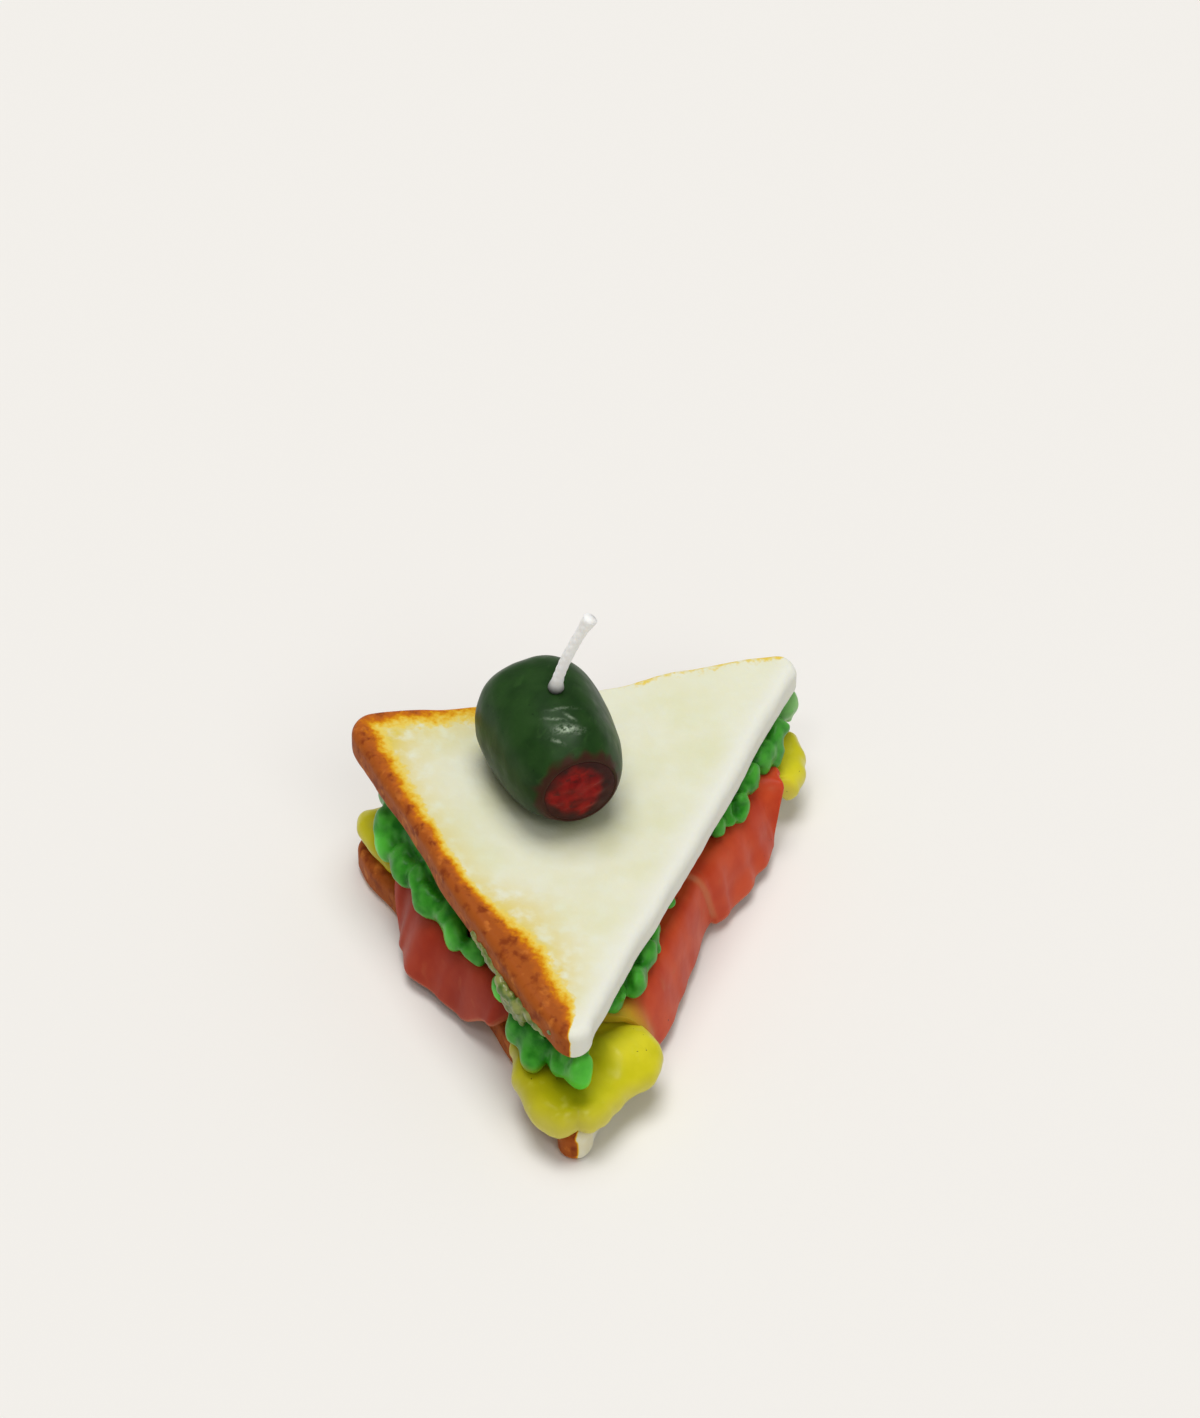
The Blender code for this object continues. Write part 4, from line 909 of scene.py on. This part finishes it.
wax = Recipe("olive wax", 0.32, depth=0.8, glow=(0.3, 0.8, 0.2), shine=0.1)
cloud = wax.between(wax.grain(7, 3), 0.3, 0.7)
streaks = wax.between(wax.grain(2.2, 4, stretch=(3, 1.2, 1), shift=5.0, warp=1.0), 0.58, 0.78)
marks = wax.between(wax.grain(1.1, 3, shift=8.0), 0.68, 0.76)
broken = wax.between(wax.grain(0.8, 4, stretch=(1, 1, 0.6), shift=2.0), 0.34, 0.62)
colour = wax.over(
    wax.blend(cloud, paint(27, 56, 20), paint(40, 71, 29)), (streaks, 0.5, paint(52, 86, 38)),
    (marks, 0.7, paint(18, 32, 18)), (wax.painted("low"), 0.7, paint(18, 32, 10)),
    (wax.painted("scuff_and_highlight"), broken, paint(182, 198, 170)),
    (wax.painted("smear"), 1.0, paint(66, 30, 24)))
rough = wax.node("ShaderNodeMapRange", 0, {
    "Value": wax.grain(2.5, 3, shift=4.0), "To Min": 0.24, "To Max": 0.48})
olive = closed_skin("olive_body", rows, {"scuff_and_highlight": scuffs, "smear": smear, "low": low},
                    wax.finish(colour, [(wax.grain(1.6, 4), 0.05)], rough))
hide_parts("olive")


# ---------------------------------------------------------------- pimento
# A plug of dark red wax pressed into the olive's end. Its face is rough and flush, and its rim
# is smeared into the dark green.

PLUG_RADIUS, PLUG_RISE = 7.5, 0.85
crown = np.linspace(7.35, 0.4, 26)
crown_rise = PLUG_RISE * (1 - (crown / PLUG_RADIUS) ** 2)
radius = np.concatenate([[6.7, 7.1, 7.4, PLUG_RADIUS], crown])
rows = round_axis(face + np.concatenate([[-1.9, -1.0, -0.5, -0.1], crown_rise]), radius, 120)
out = radius[:, None]
rows += axis * (0.2 * unevenness(rows, 3.2, 15) * step(7.0, 5.0, out))[..., None]
below, right = -(rows - olive_middle) @ up, (rows - olive_middle) @ side
smeared = 0.25 * np.maximum(below - 1, 0) + 0.5 * np.maximum(right - 0.5, 0)
rim = step(5.2, 7.8, out + 0.5 * unevenness(rows, 4.5, 16) + smeared)

wax = Recipe("pimento wax", 0.44, depth=0.8, glow=(1.0, 0.2, 0.1), shine=0.1)
cloud = wax.between(wax.grain(3.2, 4, warp=0.8), 0.32, 0.68)
dark = wax.between(wax.grain(2.2, 3, shift=5.0), 0.56, 0.74)
colour = wax.over(
    wax.blend(cloud, paint(104, 14, 13), paint(150, 24, 20)), (dark, 0.8, paint(50, 20, 18)),
    (wax.painted("rim"), 0.92, paint(48, 27, 22)))
pimento = closed_skin("pimento_plug", rows, {"rim": rim},
                      wax.finish(colour, [(wax.grain(0.9, 3), 0.08)]))
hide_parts("pimento")


# ---------------------------------------------------------------- wick
# A thin braid of bleached cotton, dipped in wax, set into the olive's top. It leans over, its
# cut end has spread a little, and grey, half clear wax stands round its foot.

WICK_HEIGHT, WICK_LEAN, WICK_RADIUS = 17.8, 6.9, 1.1
LEAN_HEADING = math.radians(-68)
foot = olive_middle + np.array([-1.1, -2.4, OLIVE_RADIUS])
lean = np.array([math.cos(LEAN_HEADING), math.sin(LEAN_HEADING), 0.0])
height = np.concatenate([[-2.7, -1.2, 0.0], np.linspace(0.25, WICK_HEIGHT, 110)])
share = np.maximum(height, 0) / WICK_HEIGHT
line = foot + np.array([0, 0, 1]) * height[:, None] + lean * (WICK_LEAN * share ** 1.4)[:, None]
tangent = np.gradient(line, axis=0)
tangent /= np.linalg.norm(tangent, axis=1)[:, None]
across = np.cross([0, 0, 1.0], lean)
other = np.cross(tangent, across)
other /= np.linalg.norm(other, axis=1)[:, None]
turn = 2 * np.pi * np.arange(72) / 72
collar = 0.7 * np.exp(-(np.maximum(height, 0) / 1.8) ** 2) * step(-0.2, 0.1, height)
wide = WICK_RADIUS + collar + 0.4 * step(WICK_HEIGHT - 3.4, WICK_HEIGHT, height)
strand = sum(np.abs(np.cos(1.5 * turn[None] + twist * height[:, None])) for twist in (1.9, -1.9))
fluted = wide[:, None] * (0.93 + 0.06 * strand * step(1.6, 3.0, height)[:, None])
rows = line[:, None] + fluted[..., None] * (np.cos(turn)[:, None] * other[:, None]
                                            + np.sin(turn)[:, None] * across[None, None])
rows = rows[::-1].copy()
wet = np.exp(-(np.maximum(height[::-1], 0) / 1.7) ** 2)[:, None]

wax = Recipe("cotton", 0.75, depth=0.8, glow=(1.0, 0.9, 0.8))
cloud = wax.between(wax.grain(0.7, 3), 0.3, 0.7)
colour = wax.blend(cloud, paint(250, 248, 242), paint(255, 254, 251))
colour = wax.blend(wax.painted("wet"), colour, paint(88, 90, 86))
wick = closed_skin("wick_braid", rows, {"wet": wet}, wax.finish(colour, [(wax.grain(0.25, 3), 0.06)]))
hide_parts("wick")


# ---------------------------------------------------------------- floor and light
# A plain, pale table and white surroundings. A large soft lamp hangs almost overhead, a fill
# stands low on the viewer's side, and a small lamp puts a glint on the olive.

HALF_FLOOR = 4.0
mesh = bpy.data.meshes.new("floor")
corners = [(-1, -1), (1, -1), (1, 1), (-1, 1)]
mesh.from_pydata([(x * HALF_FLOOR, y * HALF_FLOOR, 0) for x, y in corners], [], [(0, 1, 2, 3)])
table = Recipe("floor", 0.9)
table.shader.inputs["Base Color"].default_value = paint(238, 235, 230)
table.shader.inputs["Specular IOR Level"].default_value = 0.0
mesh.materials.append(table.material)
floor = bpy.data.objects.new("floor", mesh)
bpy.context.collection.objects.link(floor)

world = bpy.data.worlds.new("surroundings")
bpy.context.scene.world = world
world.use_nodes = True
world.node_tree.nodes["Background"].inputs["Color"].default_value = (1.0, 1.0, 1.0, 1.0)
world.node_tree.nodes["Background"].inputs["Strength"].default_value = 0.27

for name, energy, spread, heading in (
        ("key", 1.92, 36, (-0.08, -0.05, -1.0)), ("fill", 0.52, 30, (0.5, 0.45, -0.6)),
        ("glint", 0.2, 10, (0.55, 0.0, -1.0))):
    lamp = bpy.data.lights.new(name, "SUN")
    lamp.energy, lamp.angle = energy, math.radians(spread)
    light = bpy.data.objects.new(name, lamp)
    bpy.context.collection.objects.link(light)
    light.rotation_euler = turned_along(np.array(heading) / np.linalg.norm(heading))

bpy.context.scene.view_settings.view_transform = "Standard"
bpy.context.scene.view_settings.look = "None"
